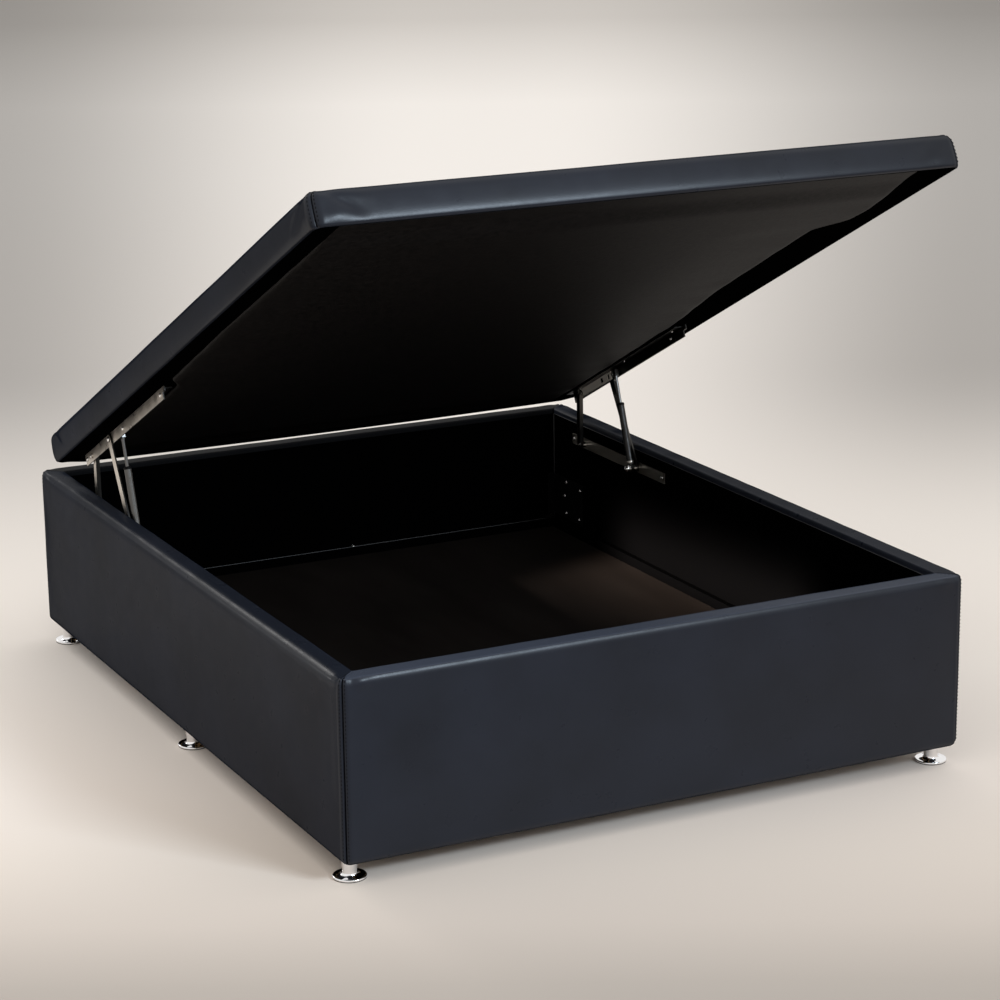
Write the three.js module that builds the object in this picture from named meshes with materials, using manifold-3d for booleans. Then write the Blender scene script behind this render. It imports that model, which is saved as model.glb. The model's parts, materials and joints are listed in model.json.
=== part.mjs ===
import * as THREE from "three";
import { mergeVertices } from "three/addons/utils/BufferGeometryUtils.js";
import Module from "manifold-3d";

// A storage divan base with its lid held open by two side lift mechanisms.
// Millimetres. X runs across the bed, Y from the foot end to the head end, Z up from the floor.
// The origin is on the floor under the middle of the box.

const wasm = await Module();
wasm.setup();

// Whole bed
const BED_WIDTH = 1500;
const BED_LENGTH = 1900;
const BOX_HEIGHT = 400;
const GLIDE_HEIGHT = 45;
const WALL_THICKNESS = 50;

// Clearances
const FIT = 0.3;
const RUN_GAP = 0.5;
const BOLT_CLEARANCE = 0.3;
const OVERRUN = 20;

// Steps of the round edges
const EDGE_SEGMENTS = 4;
const BAR_END_SEGMENTS = 8;

// Upholstery of the box
const COVER_SKIN = 6;
const COVER_TOP = 6;
const COVER_BASE = 2;
const COVER_HEM = 42;
const RIM_RETURN = 14;
const RIM_RETURN_SKIN = 2;
const CORNER_RADIUS = 21;
const EDGE_RADIUS = 18;
const LINING_THICKNESS = 2;

// Storage floor
const FLOOR_TOP = 115;
const FLOOR_THICKNESS = 6;
const BEARER_WIDTH = 45;
const BEARER_COUNT = 3;
const BATTEN_WIDTH = 15;
const BATTEN_HEIGHT = 25;

// Corner brackets inside the box
const BRACKET_SIDE_LEG = 165;
const BRACKET_END_LEG = 20;
const BRACKET_THICKNESS = 2;
const BRACKET_HEIGHT = 112;
const BRACKET_LIFT = 10;
const BRACKET_SCREW_RADIUS = 4.5;
const BRACKET_SCREW_HEAD = 2;
const BRACKET_SCREW_SIDES = 10;
const bracketScrewShares = [
  [0.38, 0.58],
  [0.46, 0.14],
  [0.46, 0.9],
  [0.86, 0.18],
  [0.91, 0.86],
];

// Glides
const GLIDE_SIDE_INSET = 36;
const GLIDE_END_INSET = 60;
const GLIDE_DISC_RADIUS = 36;
const GLIDE_DISC_EDGE = 4;
const GLIDE_STEM_RADIUS = 15;
const GLIDE_PLATE_RADIUS = 19;
const GLIDE_PLATE_THICKNESS = 4;
const STUD_RADIUS = 4;
const STUD_LENGTH = 25;
const STUD_HOLE_CLEARANCE = 0.5;
const GLIDE_SIDES = 20;

// Lid
const LID_OVERHANG = 5;
const LID_THICKNESS = 78;
const LID_CLOSED_GAP = 0.5;
const LID_OPEN_DEGREES = 26.5;
const LID_OPEN_SETBACK = 133;
const LID_OPEN_LIFT = 44.5;
const LID_SKIN = 8;
const LID_PADDING = 18;
const LID_HEM = 40;
const LID_BASE = 3;
const LID_CORNER_RADIUS = 24;
const LID_EDGE_RADIUS = 20;
const DECK_THICKNESS = 9;
const LID_RAIL_WIDTH = 60;
const LID_SLAT_WIDTH = 70;
const LID_SLAT_COUNT = 2;

// Lift mechanism, counted along the lid from its head end and inwards from the lining of the side wall
const PIVOT_BELOW_RIM = 59;
const RAIL_PIVOT_DROP = 14;
const REAR_PIVOT_ALONG = 114;
const FRONT_PIVOT_ALONG = 280;
const STRUT_PIVOT_ALONG = 336;
const BASE_PLATE_SETBACK = 164;
const BASE_PLATE_LENGTH = 500;
const BASE_PLATE_HEIGHT = 28;
const BASE_PLATE_THICKNESS = 3;
const FRONT_LINK_STANDOFF = 2.7;
const FRONT_LINK_WIDTH = 23;
const FRONT_LINK_THICKNESS = 4;
const REAR_LINK_WIDTH = 18;
const REAR_LINK_WEB = 2;
const REAR_LINK_DEPTH = 10;
const RAIL_START = 62;
const RAIL_LENGTH = 648;
const RAIL_HEIGHT = 28;
const RAIL_FLANGE = 26;
const RAIL_THICKNESS = 3;
const RAIL_HOOK_LENGTH = 16;
const RAIL_HOOK_HEIGHT = 12;
const JOINT_PLATE_THICKNESS = 2.5;
const JOINT_PLATE_HEIGHT = 21;
const JOINT_PLATE_MARGIN = 16;
const JOINT_PLATE_WINDOW = 13;
const REAR_BOLT_RADIUS = 4;
const FRONT_BOLT_RADIUS = 5;
const BOLT_COLLAR_WALL = 4;
const BOLT_HEAD_LENGTH = 5;
const REAR_BOLT_HEAD_RADIUS = 6;
const FRONT_BOLT_HEAD_RADIUS = 8;
const RIVET_HEAD_RADIUS = 7;
const RIVET_HEAD_LENGTH = 1.8;
const BOLT_SIDES = 16;

// Gas strut
const STRUT_TUBE_RADIUS = 9;
const STRUT_ROD_RADIUS = 4;
const STRUT_BORE_CLEARANCE = 0.4;
const STRUT_EYE_THICKNESS = 8;
const STRUT_LOWER_EYE_RADIUS = 10;
const STRUT_UPPER_EYE_RADIUS = 8;
const STRUT_NECK_RADIUS = 5;
const STRUT_NECK_LENGTH = 10;
const STRUT_TUBE_TOP = 172;
const STRUT_BORE_FLOOR = 16;
const STRUT_ROD_INSIDE = 40;
const STRUT_TUBE_CHAMFER = 2;
const STRUT_SIDES = 16;

// Levels and faces that the sizes above fix
const HALF_WIDTH = BED_WIDTH / 2;
const HALF_LENGTH = BED_LENGTH / 2;
const BOX_BASE = GLIDE_HEIGHT;
const RIM = BOX_BASE + BOX_HEIGHT;
const LINING_INSET = WALL_THICKNESS - LINING_THICKNESS;
const BOARD_INNER_INSET = WALL_THICKNESS - Math.max(LINING_THICKNESS, RIM_RETURN_SKIN) - FIT;
const INNER_HALF_WIDTH = HALF_WIDTH - WALL_THICKNESS;
const INNER_HALF_LENGTH = HALF_LENGTH - WALL_THICKNESS;
const FLOOR_UNDER = FLOOR_TOP - FLOOR_THICKNESS;
const LID_LENGTH = BED_LENGTH + 2 * LID_OVERHANG;
const SIDES = { left: -1, right: 1 };

// Colours and finishes
const finishes = {
  leather: { color: 0x1f232c, roughness: 0.5, metalness: 0 },
  lining: { color: 0x0b0b0c, roughness: 0.9, metalness: 0 },
  timber: { color: 0xb08d5e, roughness: 0.75, metalness: 0 },
  floorBoard: { color: 0x16100e, roughness: 0.45, metalness: 0 },
  blackSteel: { color: 0x101112, roughness: 0.5, metalness: 0.6 },
  steel: { color: 0x9b948a, roughness: 0.35, metalness: 1 },
  chrome: { color: 0xd8d8da, roughness: 0.08, metalness: 1 },
};

const group = new THREE.Group();

// Makes a solid of a closed three.js geometry.
function solidOf(geometry) {
  const bare = geometry.index ? geometry.toNonIndexed() : geometry.clone();
  bare.deleteAttribute("normal");
  bare.deleteAttribute("uv");
  const merged = mergeVertices(bare);
  const vertProperties = merged.attributes.position.array;
  const triVerts = new Uint32Array(merged.index.array);
  return new wasm.Manifold(new wasm.Mesh({ numProp: 3, vertProperties, triVerts }));
}

// Makes a three.js geometry of a solid.
function geometryOf(solid) {
  const { vertProperties, triVerts } = solid.getMesh();
  const geometry = new THREE.BufferGeometry();
  geometry.setAttribute("position", new THREE.BufferAttribute(vertProperties, 3));
  geometry.setIndex(new THREE.BufferAttribute(triVerts, 1));
  geometry.computeVertexNormals();
  return geometry;
}

// Adds a solid to a group as a named mesh with its own material.
function place(parent, name, solid, finish) {
  const mesh = new THREE.Mesh(geometryOf(solid), new THREE.MeshStandardMaterial(finishes[finish]));
  mesh.name = name;
  parent.add(mesh);
}

// A rectangular block, each argument its low and high face.
function block([xLow, xHigh], [yLow, yHigh], [zLow, zHigh]) {
  const geometry = new THREE.BoxGeometry(xHigh - xLow, yHigh - yLow, zHigh - zLow);
  geometry.translate((xLow + xHigh) / 2, (yLow + yHigh) / 2, (zLow + zHigh) / 2);
  return solidOf(geometry);
}

// A block centred on X and Y.
function centredBlock(halfWidth, halfLength, heights) {
  return block([-halfWidth, halfWidth], [-halfLength, halfLength], heights);
}

// A rectangle with round corners, as a shape.
function roundedRectangle(halfWidth, halfLength, radius) {
  const shape = new THREE.Shape();
  shape.moveTo(halfWidth, -halfLength + radius);
  shape.absarc(halfWidth - radius, halfLength - radius, radius, 0, Math.PI / 2);
  shape.absarc(-halfWidth + radius, halfLength - radius, radius, Math.PI / 2, Math.PI);
  shape.absarc(-halfWidth + radius, -halfLength + radius, radius, Math.PI, 1.5 * Math.PI);
  shape.absarc(halfWidth - radius, -halfLength + radius, radius, 1.5 * Math.PI, 2 * Math.PI);
  shape.closePath();
  return shape;
}

// A slab with round corners in plan and round long edges, between two heights, with its sides set in.
function paddedSlab(size, [low, high], inset = 0) {
  const halfWidth = size.halfWidth - inset;
  const halfLength = size.halfLength - inset;
  const cornerRadius = size.cornerRadius - inset;
  const edgeRadius = size.edgeRadius - inset;
  const shape = roundedRectangle(
    halfWidth - edgeRadius,
    halfLength - edgeRadius,
    cornerRadius - edgeRadius,
  );
  const geometry = new THREE.ExtrudeGeometry(shape, {
    depth: high - low - 2 * edgeRadius,
    bevelThickness: edgeRadius,
    bevelSize: edgeRadius,
    bevelSegments: EDGE_SEGMENTS,
    curveSegments: EDGE_SEGMENTS,
  });
  geometry.translate(0, 0, low + edgeRadius);
  return solidOf(geometry);
}

// The outer forms of the box and of the lid
const boxForm = {
  halfWidth: HALF_WIDTH,
  halfLength: HALF_LENGTH,
  cornerRadius: CORNER_RADIUS,
  edgeRadius: EDGE_RADIUS,
};
const lidForm = {
  halfWidth: HALF_WIDTH,
  halfLength: LID_LENGTH / 2,
  cornerRadius: LID_CORNER_RADIUS,
  edgeRadius: LID_EDGE_RADIUS,
};

// The part of a ring that belongs to one wall, cut by the corner mitres.
function mitreWedge(wall, halfWidth, halfLength, [low, high]) {
  const reach = WALL_THICKNESS + OVERRUN;
  const alongX = wall === "foot" || wall === "head";
  const side = wall === "left" || wall === "foot" ? -1 : 1;
  const depth = alongX ? halfLength : halfWidth;
  const span = alongX ? halfWidth : halfLength;
  const outer = depth + OVERRUN;
  const inner = depth - reach;
  const spanAt = (distance) => span + (distance - depth) - FIT / Math.SQRT2;
  const corners = [
    [outer, -spanAt(outer)],
    [outer, spanAt(outer)],
    [inner, spanAt(inner)],
    [inner, -spanAt(inner)],
  ];
  const points = corners.map(([across, along]) =>
    alongX ? new THREE.Vector2(along, side * across) : new THREE.Vector2(side * across, along),
  );
  const geometry = new THREE.ExtrudeGeometry(new THREE.Shape(points), {
    depth: high - low + 2 * OVERRUN,
    bevelEnabled: false,
  });
  geometry.translate(0, 0, low - OVERRUN);
  return solidOf(geometry);
}

// A solid of revolution about X whose profile counts inwards from the lining of one side wall.
function turnedAcross(side, profile, sides) {
  const points = profile.map(([radius, depth]) => new THREE.Vector2(radius, depth));
  const geometry = new THREE.LatheGeometry(points, sides);
  geometry.rotateZ((side * Math.PI) / 2);
  geometry.translate(side * INNER_HALF_WIDTH, 0, 0);
  return solidOf(geometry);
}

// A plain pin about X between two depths from the lining.
function pin(side, radius, [near, far], y = 0, z = 0, sides = BOLT_SIDES) {
  const profile = [
    [0, near],
    [radius, near],
    [radius, far],
    [0, far],
  ];
  return turnedAcross(side, profile, sides).translate([0, y, z]);
}

// The low and high X of what lies between two depths from the lining of one side wall.
function acrossSpan(side, [near, far]) {
  const ends = [side * (INNER_HALF_WIDTH - near), side * (INNER_HALF_WIDTH - far)];
  return [Math.min(...ends), Math.max(...ends)];
}

// A flat bar with round ends that stands on its lower pivot, between two depths.
function flatBar(side, length, width, depths) {
  const radius = width / 2;
  const shape = new THREE.Shape();
  shape.absarc(0, length, radius, 0, Math.PI);
  shape.absarc(0, 0, radius, Math.PI, 2 * Math.PI);
  shape.closePath();
  const [low, high] = acrossSpan(side, depths);
  const geometry = new THREE.ExtrudeGeometry(shape, {
    depth: high - low,
    bevelEnabled: false,
    curveSegments: BAR_END_SEGMENTS,
  });
  const acrossToX = new THREE.Matrix4().makeBasis(
    new THREE.Vector3(0, 1, 0),
    new THREE.Vector3(0, 0, 1),
    new THREE.Vector3(1, 0, 0),
  );
  geometry.applyMatrix4(acrossToX);
  geometry.translate(low, 0, 0);
  return solidOf(geometry);
}

// A group that stands at a pivot and leans from upright towards the head end.
function leaningGroup([y, z], lean) {
  const leaning = new THREE.Group();
  leaning.position.set(0, y, z);
  leaning.rotation.x = -lean;
  group.add(leaning);
  return leaning;
}

// Where the glides stand
const glidePlaces = {
  foot_end: -HALF_LENGTH + GLIDE_END_INSET,
  middle: 0,
  head_end: HALF_LENGTH - GLIDE_END_INSET,
};

// The holes that the glides' studs go into.
function studHoles() {
  const radius = STUD_RADIUS + STUD_HOLE_CLEARANCE;
  const top = BOX_BASE + STUD_LENGTH + OVERRUN;
  const height = top - BOX_BASE + OVERRUN;
  const holes = [];
  for (const side of Object.values(SIDES)) {
    for (const y of Object.values(glidePlaces)) {
      const geometry = new THREE.CylinderGeometry(radius, radius, height, BOLT_SIDES);
      geometry.rotateX(Math.PI / 2);
      geometry.translate(side * (HALF_WIDTH - GLIDE_SIDE_INSET), y, top - height / 2);
      holes.push(solidOf(geometry));
    }
  }
  return holes.reduce((all, hole) => all.add(hole));
}

// The padded covers wrap each wall: outside, over the rim, down its inner face and under the base.
function addCovers(holes) {
  const topUnder = RIM - COVER_TOP;
  const through = [BOX_BASE - OVERRUN, RIM + OVERRUN];
  const inset = (distance, heights) =>
    centredBlock(HALF_WIDTH - distance, HALF_LENGTH - distance, heights);
  const outer = paddedSlab(boxForm, [BOX_BASE, RIM]);
  const hollow = paddedSlab(boxForm, [BOX_BASE + COVER_BASE, topUnder], COVER_SKIN);
  const rimReturn = inset(WALL_THICKNESS - RIM_RETURN_SKIN, [RIM - RIM_RETURN, RIM]).subtract(
    inset(WALL_THICKNESS, through),
  );
  const ring = outer
    .subtract(hollow)
    .subtract(inset(WALL_THICKNESS, [topUnder - FIT, RIM + OVERRUN]))
    .subtract(inset(COVER_HEM, [BOX_BASE - OVERRUN, BOX_BASE + COVER_BASE + FIT]))
    .add(rimReturn)
    .subtract(holes);
  for (const wall of ["left", "right", "foot", "head"]) {
    const wedge = mitreWedge(wall, HALF_WIDTH, HALF_LENGTH, [BOX_BASE, RIM]);
    place(group, `${wall}_cover`, ring.intersect(wedge), "leather");
  }
}

// The timber panels stand inside the covers; the end panels fit between the side panels.
function addWallBoards(holes) {
  const heights = [BOX_BASE + COVER_BASE + FIT, RIM - COVER_TOP - FIT];
  const outerInset = COVER_SKIN + FIT;
  const endHalf = HALF_WIDTH - BOARD_INNER_INSET - FIT;
  const core = paddedSlab(boxForm, heights, outerInset);
  for (const [name, side] of Object.entries(SIDES)) {
    const faces = [side * (HALF_WIDTH - outerInset), side * (HALF_WIDTH - BOARD_INNER_INSET)];
    const board = block(
      [Math.min(...faces), Math.max(...faces)],
      [-HALF_LENGTH + outerInset, HALF_LENGTH - outerInset],
      heights,
    );
    place(group, `${name}_wall_board`, board.intersect(core).subtract(holes), "timber");
  }
  for (const [name, side] of Object.entries({ foot: -1, head: 1 })) {
    const faces = [side * (HALF_LENGTH - outerInset), side * (HALF_LENGTH - BOARD_INNER_INSET)];
    const board = block(
      [-endHalf, endHalf],
      [Math.min(...faces), Math.max(...faces)],
      heights,
    );
    place(group, `${name}_wall_board`, board.intersect(core), "timber");
  }
}

// The black lining of each wall runs from the floor up to the rim's return.
function addLinings() {
  const heights = [FLOOR_TOP + FIT, RIM - RIM_RETURN - FIT];
  const wallInner = HALF_WIDTH - LINING_INSET;
  const endInner = HALF_LENGTH - LINING_INSET;
  const endHalf = INNER_HALF_WIDTH - FIT;
  const runs = [-endInner, endInner];
  place(group, "left_lining", block([-wallInner, -INNER_HALF_WIDTH], runs, heights), "lining");
  place(group, "right_lining", block([INNER_HALF_WIDTH, wallInner], runs, heights), "lining");
  const across = [-endHalf, endHalf];
  place(group, "foot_lining", block(across, [-endInner, -INNER_HALF_LENGTH], heights), "lining");
  place(group, "head_lining", block(across, [INNER_HALF_LENGTH, endInner], heights), "lining");
}

// The storage floor lies on cross bearers, with a batten along each wall.
function addFloor() {
  const halfWidth = HALF_WIDTH - BOARD_INNER_INSET - FIT;
  const halfLength = HALF_LENGTH - BOARD_INNER_INSET - FIT;
  const floor = centredBlock(halfWidth, halfLength, [FLOOR_UNDER, FLOOR_TOP]);
  place(group, "floor_board", floor, "floorBoard");
  const bearerHeights = [BOX_BASE + COVER_BASE + FIT, FLOOR_UNDER - FIT];
  const pitch = (2 * halfLength) / (BEARER_COUNT + 1);
  for (let count = 1; count <= BEARER_COUNT; count += 1) {
    const middle = -halfLength + count * pitch;
    const run = [middle - BEARER_WIDTH / 2, middle + BEARER_WIDTH / 2];
    const bearer = block([-halfWidth, halfWidth], run, bearerHeights);
    place(group, `floor_bearer_${count}`, bearer, "timber");
  }
  const heights = [FLOOR_TOP + FIT, FLOOR_TOP + FIT + BATTEN_HEIGHT];
  const outerX = INNER_HALF_WIDTH - FIT;
  const outerY = INNER_HALF_LENGTH - FIT;
  const innerX = outerX - BATTEN_WIDTH;
  const innerY = outerY - BATTEN_WIDTH;
  const runs = [-outerY, outerY];
  const across = [-innerX + FIT, innerX - FIT];
  place(group, "left_batten", block([-outerX, -innerX], runs, heights), "lining");
  place(group, "right_batten", block([innerX, outerX], runs, heights), "lining");
  place(group, "foot_batten", block(across, [-outerY, -innerY], heights), "lining");
  place(group, "head_batten", block(across, [innerY, outerY], heights), "lining");
}

// Angle brackets tie the walls at each corner, with screw heads on their side legs.
function addCornerBrackets() {
  const low = FLOOR_TOP + FIT + BATTEN_HEIGHT + BRACKET_LIFT;
  const heights = [low, low + BRACKET_HEIGHT];
  const wallFace = INNER_HALF_WIDTH - FIT;
  const endFace = INNER_HALF_LENGTH - FIT;
  for (const [endName, end] of Object.entries({ foot: -1, head: 1 })) {
    for (const [sideName, side] of Object.entries(SIDES)) {
      const spanOf = (sign, from, to) => [
        Math.min(sign * from, sign * to),
        Math.max(sign * from, sign * to),
      ];
      const sideLeg = block(
        spanOf(side, wallFace, wallFace - BRACKET_THICKNESS),
        spanOf(end, endFace, endFace - BRACKET_SIDE_LEG),
        heights,
      );
      const endLeg = block(
        spanOf(side, wallFace, wallFace - BRACKET_END_LEG),
        spanOf(end, endFace, endFace - BRACKET_THICKNESS),
        heights,
      );
      const heads = bracketScrewShares.map(([along, up]) =>
        pin(
          side,
          BRACKET_SCREW_RADIUS,
          [FIT + BRACKET_THICKNESS / 2, FIT + BRACKET_THICKNESS + BRACKET_SCREW_HEAD],
          end * (endFace - BRACKET_SIDE_LEG * along),
          low + BRACKET_HEIGHT * up,
          BRACKET_SCREW_SIDES,
        ),
      );
      const bracket = heads.reduce((all, head) => all.add(head), sideLeg.add(endLeg));
      place(group, `corner_bracket_${endName}_${sideName}`, bracket, "blackSteel");
    }
  }
}

// Each glide is a disc, a waisted stem, a top plate and the stud that screws into the wall.
function addGlides() {
  const plateUnder = GLIDE_HEIGHT - FIT - GLIDE_PLATE_THICKNESS;
  const plateTop = GLIDE_HEIGHT - FIT;
  const skirt = (GLIDE_DISC_RADIUS + GLIDE_STEM_RADIUS) / 2;
  const profile = [
    [0, 0],
    [GLIDE_DISC_RADIUS, 0],
    [GLIDE_DISC_RADIUS, GLIDE_DISC_EDGE],
    [skirt, 2 * GLIDE_DISC_EDGE],
    [GLIDE_STEM_RADIUS, 4 * GLIDE_DISC_EDGE],
    [GLIDE_STEM_RADIUS, plateUnder - GLIDE_DISC_EDGE],
    [GLIDE_PLATE_RADIUS, plateUnder],
    [GLIDE_PLATE_RADIUS, plateTop],
    [STUD_RADIUS, plateTop],
    [STUD_RADIUS, plateTop + STUD_LENGTH],
    [0, plateTop + STUD_LENGTH],
  ];
  const points = profile.map(([radius, height]) => new THREE.Vector2(radius, height));
  const geometry = new THREE.LatheGeometry(points, GLIDE_SIDES);
  geometry.rotateX(Math.PI / 2);
  const glide = solidOf(geometry);
  for (const [sideName, side] of Object.entries(SIDES)) {
    for (const [placeName, y] of Object.entries(glidePlaces)) {
      const moved = glide.translate([side * (HALF_WIDTH - GLIDE_SIDE_INSET), y, 0]);
      place(group, `glide_${placeName}_${sideName}`, moved, "chrome");
    }
  }
}

// Depths of the mechanism's layers from the lining, and the places of its pivots
const plateDepths = [FIT, FIT + BASE_PLATE_THICKNESS];
const frontLinkDepths = [
  plateDepths[1] + FRONT_LINK_STANDOFF,
  plateDepths[1] + FRONT_LINK_STANDOFF + FRONT_LINK_THICKNESS,
];
const railDepths = [
  frontLinkDepths[1] + RUN_GAP,
  frontLinkDepths[1] + RUN_GAP + RAIL_THICKNESS,
];
const jointPlateDepths = [railDepths[1] + FIT, railDepths[1] + FIT + JOINT_PLATE_THICKNESS];
const rearLinkDepths = [
  jointPlateDepths[1] + RUN_GAP,
  jointPlateDepths[1] + RUN_GAP + REAR_LINK_DEPTH,
];
const strutDepth = railDepths[1] + RUN_GAP + STRUT_TUBE_RADIUS;
const eyeDepths = [strutDepth - STRUT_EYE_THICKNESS / 2, strutDepth + STRUT_EYE_THICKNESS / 2];
const openLid = { y: HALF_LENGTH - LID_OPEN_SETBACK, z: RIM + LID_OPEN_LIFT };
const shutLid = { y: HALF_LENGTH + LID_OVERHANG, z: RIM + LID_CLOSED_GAP };
const openAngle = THREE.MathUtils.degToRad(LID_OPEN_DEGREES);

// A point of the lid in Y and Z: its distance from the head end and from the underside, at an angle.
function lidPoint(corner, angle, along, above) {
  return [
    corner.y - along * Math.cos(angle) + above * Math.sin(angle),
    corner.z + along * Math.sin(angle) + above * Math.cos(angle),
  ];
}

// The fixed pivot of a link, at a height, that holds a lid pivot both open and shut.
function fixedPivot(along, height) {
  const open = lidPoint(openLid, openAngle, along, -RAIL_PIVOT_DROP);
  const shut = lidPoint(shutLid, 0, along, -RAIL_PIVOT_DROP);
  const middle = [(open[0] + shut[0]) / 2, (open[1] + shut[1]) / 2];
  const travel = [shut[0] - open[0], shut[1] - open[1]];
  return [middle[0] - ((height - middle[1]) * travel[1]) / travel[0], height];
}

// The length and the lean of a link from its fixed pivot to a lid pivot.
function linkTo(pivot, along) {
  const [y, z] = lidPoint(openLid, openAngle, along, -RAIL_PIVOT_DROP);
  return {
    length: Math.hypot(y - pivot[0], z - pivot[1]),
    lean: Math.atan2(y - pivot[0], z - pivot[1]),
  };
}

const pivotHeight = RIM - PIVOT_BELOW_RIM;
const rearPivot = fixedPivot(REAR_PIVOT_ALONG, pivotHeight);
const frontPivot = fixedPivot(FRONT_PIVOT_ALONG, pivotHeight);
const rearLink = linkTo(rearPivot, REAR_PIVOT_ALONG);
const frontLink = linkTo(frontPivot, FRONT_PIVOT_ALONG);
const strut = linkTo(frontPivot, STRUT_PIVOT_ALONG);

// The plate screwed to the side wall, with the holes of both lower bolts.
function addBasePlate(name, side) {
  const headEnd = HALF_LENGTH - BASE_PLATE_SETBACK;
  const plate = block(
    acrossSpan(side, plateDepths),
    [headEnd - BASE_PLATE_LENGTH, headEnd],
    [pivotHeight - BASE_PLATE_HEIGHT / 2, pivotHeight + BASE_PLATE_HEIGHT / 2],
  );
  const depths = [plateDepths[0] - OVERRUN, plateDepths[1] + OVERRUN];
  const rearHole = pin(side, REAR_BOLT_RADIUS + BOLT_CLEARANCE, depths, ...rearPivot);
  const frontHole = pin(side, FRONT_BOLT_RADIUS + BOLT_CLEARANCE, depths, ...frontPivot);
  place(group, `base_plate_${name}`, plate.subtract(rearHole).subtract(frontHole), "steel");
}

// The lower bolts: shaft, spacing collars and a round head.
function addLowerBolts(name, side) {
  const rearCollar = REAR_BOLT_RADIUS + BOLT_COLLAR_WALL;
  const rearWeb = rearLinkDepths[0] + REAR_LINK_WEB;
  const rearProfile = [
    [0, plateDepths[0] + FIT],
    [REAR_BOLT_RADIUS, plateDepths[0] + FIT],
    [REAR_BOLT_RADIUS, plateDepths[1] + FIT],
    [rearCollar, plateDepths[1] + FIT],
    [rearCollar, rearLinkDepths[0] - FIT],
    [REAR_BOLT_RADIUS, rearLinkDepths[0] - FIT],
    [REAR_BOLT_RADIUS, rearWeb + FIT],
    [REAR_BOLT_HEAD_RADIUS, rearWeb + FIT],
    [REAR_BOLT_HEAD_RADIUS, rearWeb + FIT + BOLT_HEAD_LENGTH / 2],
    [REAR_BOLT_HEAD_RADIUS / 2, rearWeb + FIT + BOLT_HEAD_LENGTH],
    [0, rearWeb + FIT + BOLT_HEAD_LENGTH],
  ];
  const frontCollar = FRONT_BOLT_RADIUS + BOLT_COLLAR_WALL;
  const frontProfile = [
    [0, plateDepths[0] + FIT],
    [FRONT_BOLT_RADIUS, plateDepths[0] + FIT],
    [FRONT_BOLT_RADIUS, plateDepths[1] + FIT],
    [frontCollar, plateDepths[1] + FIT],
    [frontCollar, frontLinkDepths[0] - FIT],
    [FRONT_BOLT_RADIUS, frontLinkDepths[0] - FIT],
    [FRONT_BOLT_RADIUS, frontLinkDepths[1] + FIT],
    [frontCollar, frontLinkDepths[1] + FIT],
    [frontCollar, eyeDepths[0] - FIT],
    [FRONT_BOLT_RADIUS, eyeDepths[0] - FIT],
    [FRONT_BOLT_RADIUS, eyeDepths[1] + FIT],
    [FRONT_BOLT_HEAD_RADIUS, eyeDepths[1] + FIT],
    [FRONT_BOLT_HEAD_RADIUS, eyeDepths[1] + FIT + BOLT_HEAD_LENGTH / 2],
    [FRONT_BOLT_HEAD_RADIUS / 2, eyeDepths[1] + FIT + BOLT_HEAD_LENGTH],
    [0, eyeDepths[1] + FIT + BOLT_HEAD_LENGTH],
  ];
  const rear = turnedAcross(side, rearProfile, BOLT_SIDES).translate([0, ...rearPivot]);
  const front = turnedAcross(side, frontProfile, BOLT_SIDES).translate([0, ...frontPivot]);
  place(group, `rear_bolt_${name}`, rear, "chrome");
  place(group, `front_bolt_${name}`, front, "chrome");
}

// The rear link is a short channel: a web with a flange along each edge.
function addRearLink(name, side) {
  const [outer, inner] = rearLinkDepths;
  const webDepths = [outer, outer + REAR_LINK_WEB];
  const web = flatBar(side, rearLink.length, REAR_LINK_WIDTH, webDepths);
  const half = REAR_LINK_WIDTH / 2;
  const x = acrossSpan(side, [outer, inner]);
  const flanges = [-half, half - REAR_LINK_WEB].map((y) =>
    block(x, [y, y + REAR_LINK_WEB], [0, rearLink.length]),
  );
  const hole = REAR_BOLT_RADIUS + BOLT_CLEARANCE;
  const depths = [outer - OVERRUN, inner + OVERRUN];
  const link = web
    .add(flanges[0])
    .add(flanges[1])
    .subtract(pin(side, hole, depths))
    .subtract(pin(side, hole, depths, 0, rearLink.length));
  place(leaningGroup(rearPivot, rearLink.lean), `rear_link_${name}`, link, "steel");
}

// The front link is a flat bar on the front bolt, with a rivet at its lid end.
function addFrontLink(name, side) {
  const bar = flatBar(side, frontLink.length, FRONT_LINK_WIDTH, frontLinkDepths);
  const hole = pin(side, FRONT_BOLT_RADIUS + BOLT_CLEARANCE, [
    frontLinkDepths[0] - OVERRUN,
    frontLinkDepths[1] + OVERRUN,
  ]);
  const rivetDepths = [frontLinkDepths[0] - RIVET_HEAD_LENGTH, frontLinkDepths[1]];
  const rivet = pin(side, RIVET_HEAD_RADIUS, rivetDepths, 0, frontLink.length);
  const link = bar.subtract(hole).add(rivet);
  place(leaningGroup(frontPivot, frontLink.lean), `front_link_${name}`, link, "steel");
}

// A round bar along the strut between two distances from its lower pivot, with an optional chamfer.
function strutBar(side, radius, [low, high], chamfer = 0) {
  const points = [
    new THREE.Vector2(0, low),
    new THREE.Vector2(radius - chamfer, low),
    ...(chamfer ? [new THREE.Vector2(radius, low + chamfer)] : []),
    ...(chamfer ? [new THREE.Vector2(radius, high - chamfer)] : []),
    new THREE.Vector2(radius - chamfer, high),
    new THREE.Vector2(0, high),
  ];
  const geometry = new THREE.LatheGeometry(points, STRUT_SIDES);
  geometry.rotateX(Math.PI / 2);
  geometry.translate(side * (INNER_HALF_WIDTH - strutDepth), 0, 0);
  return solidOf(geometry);
}

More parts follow.
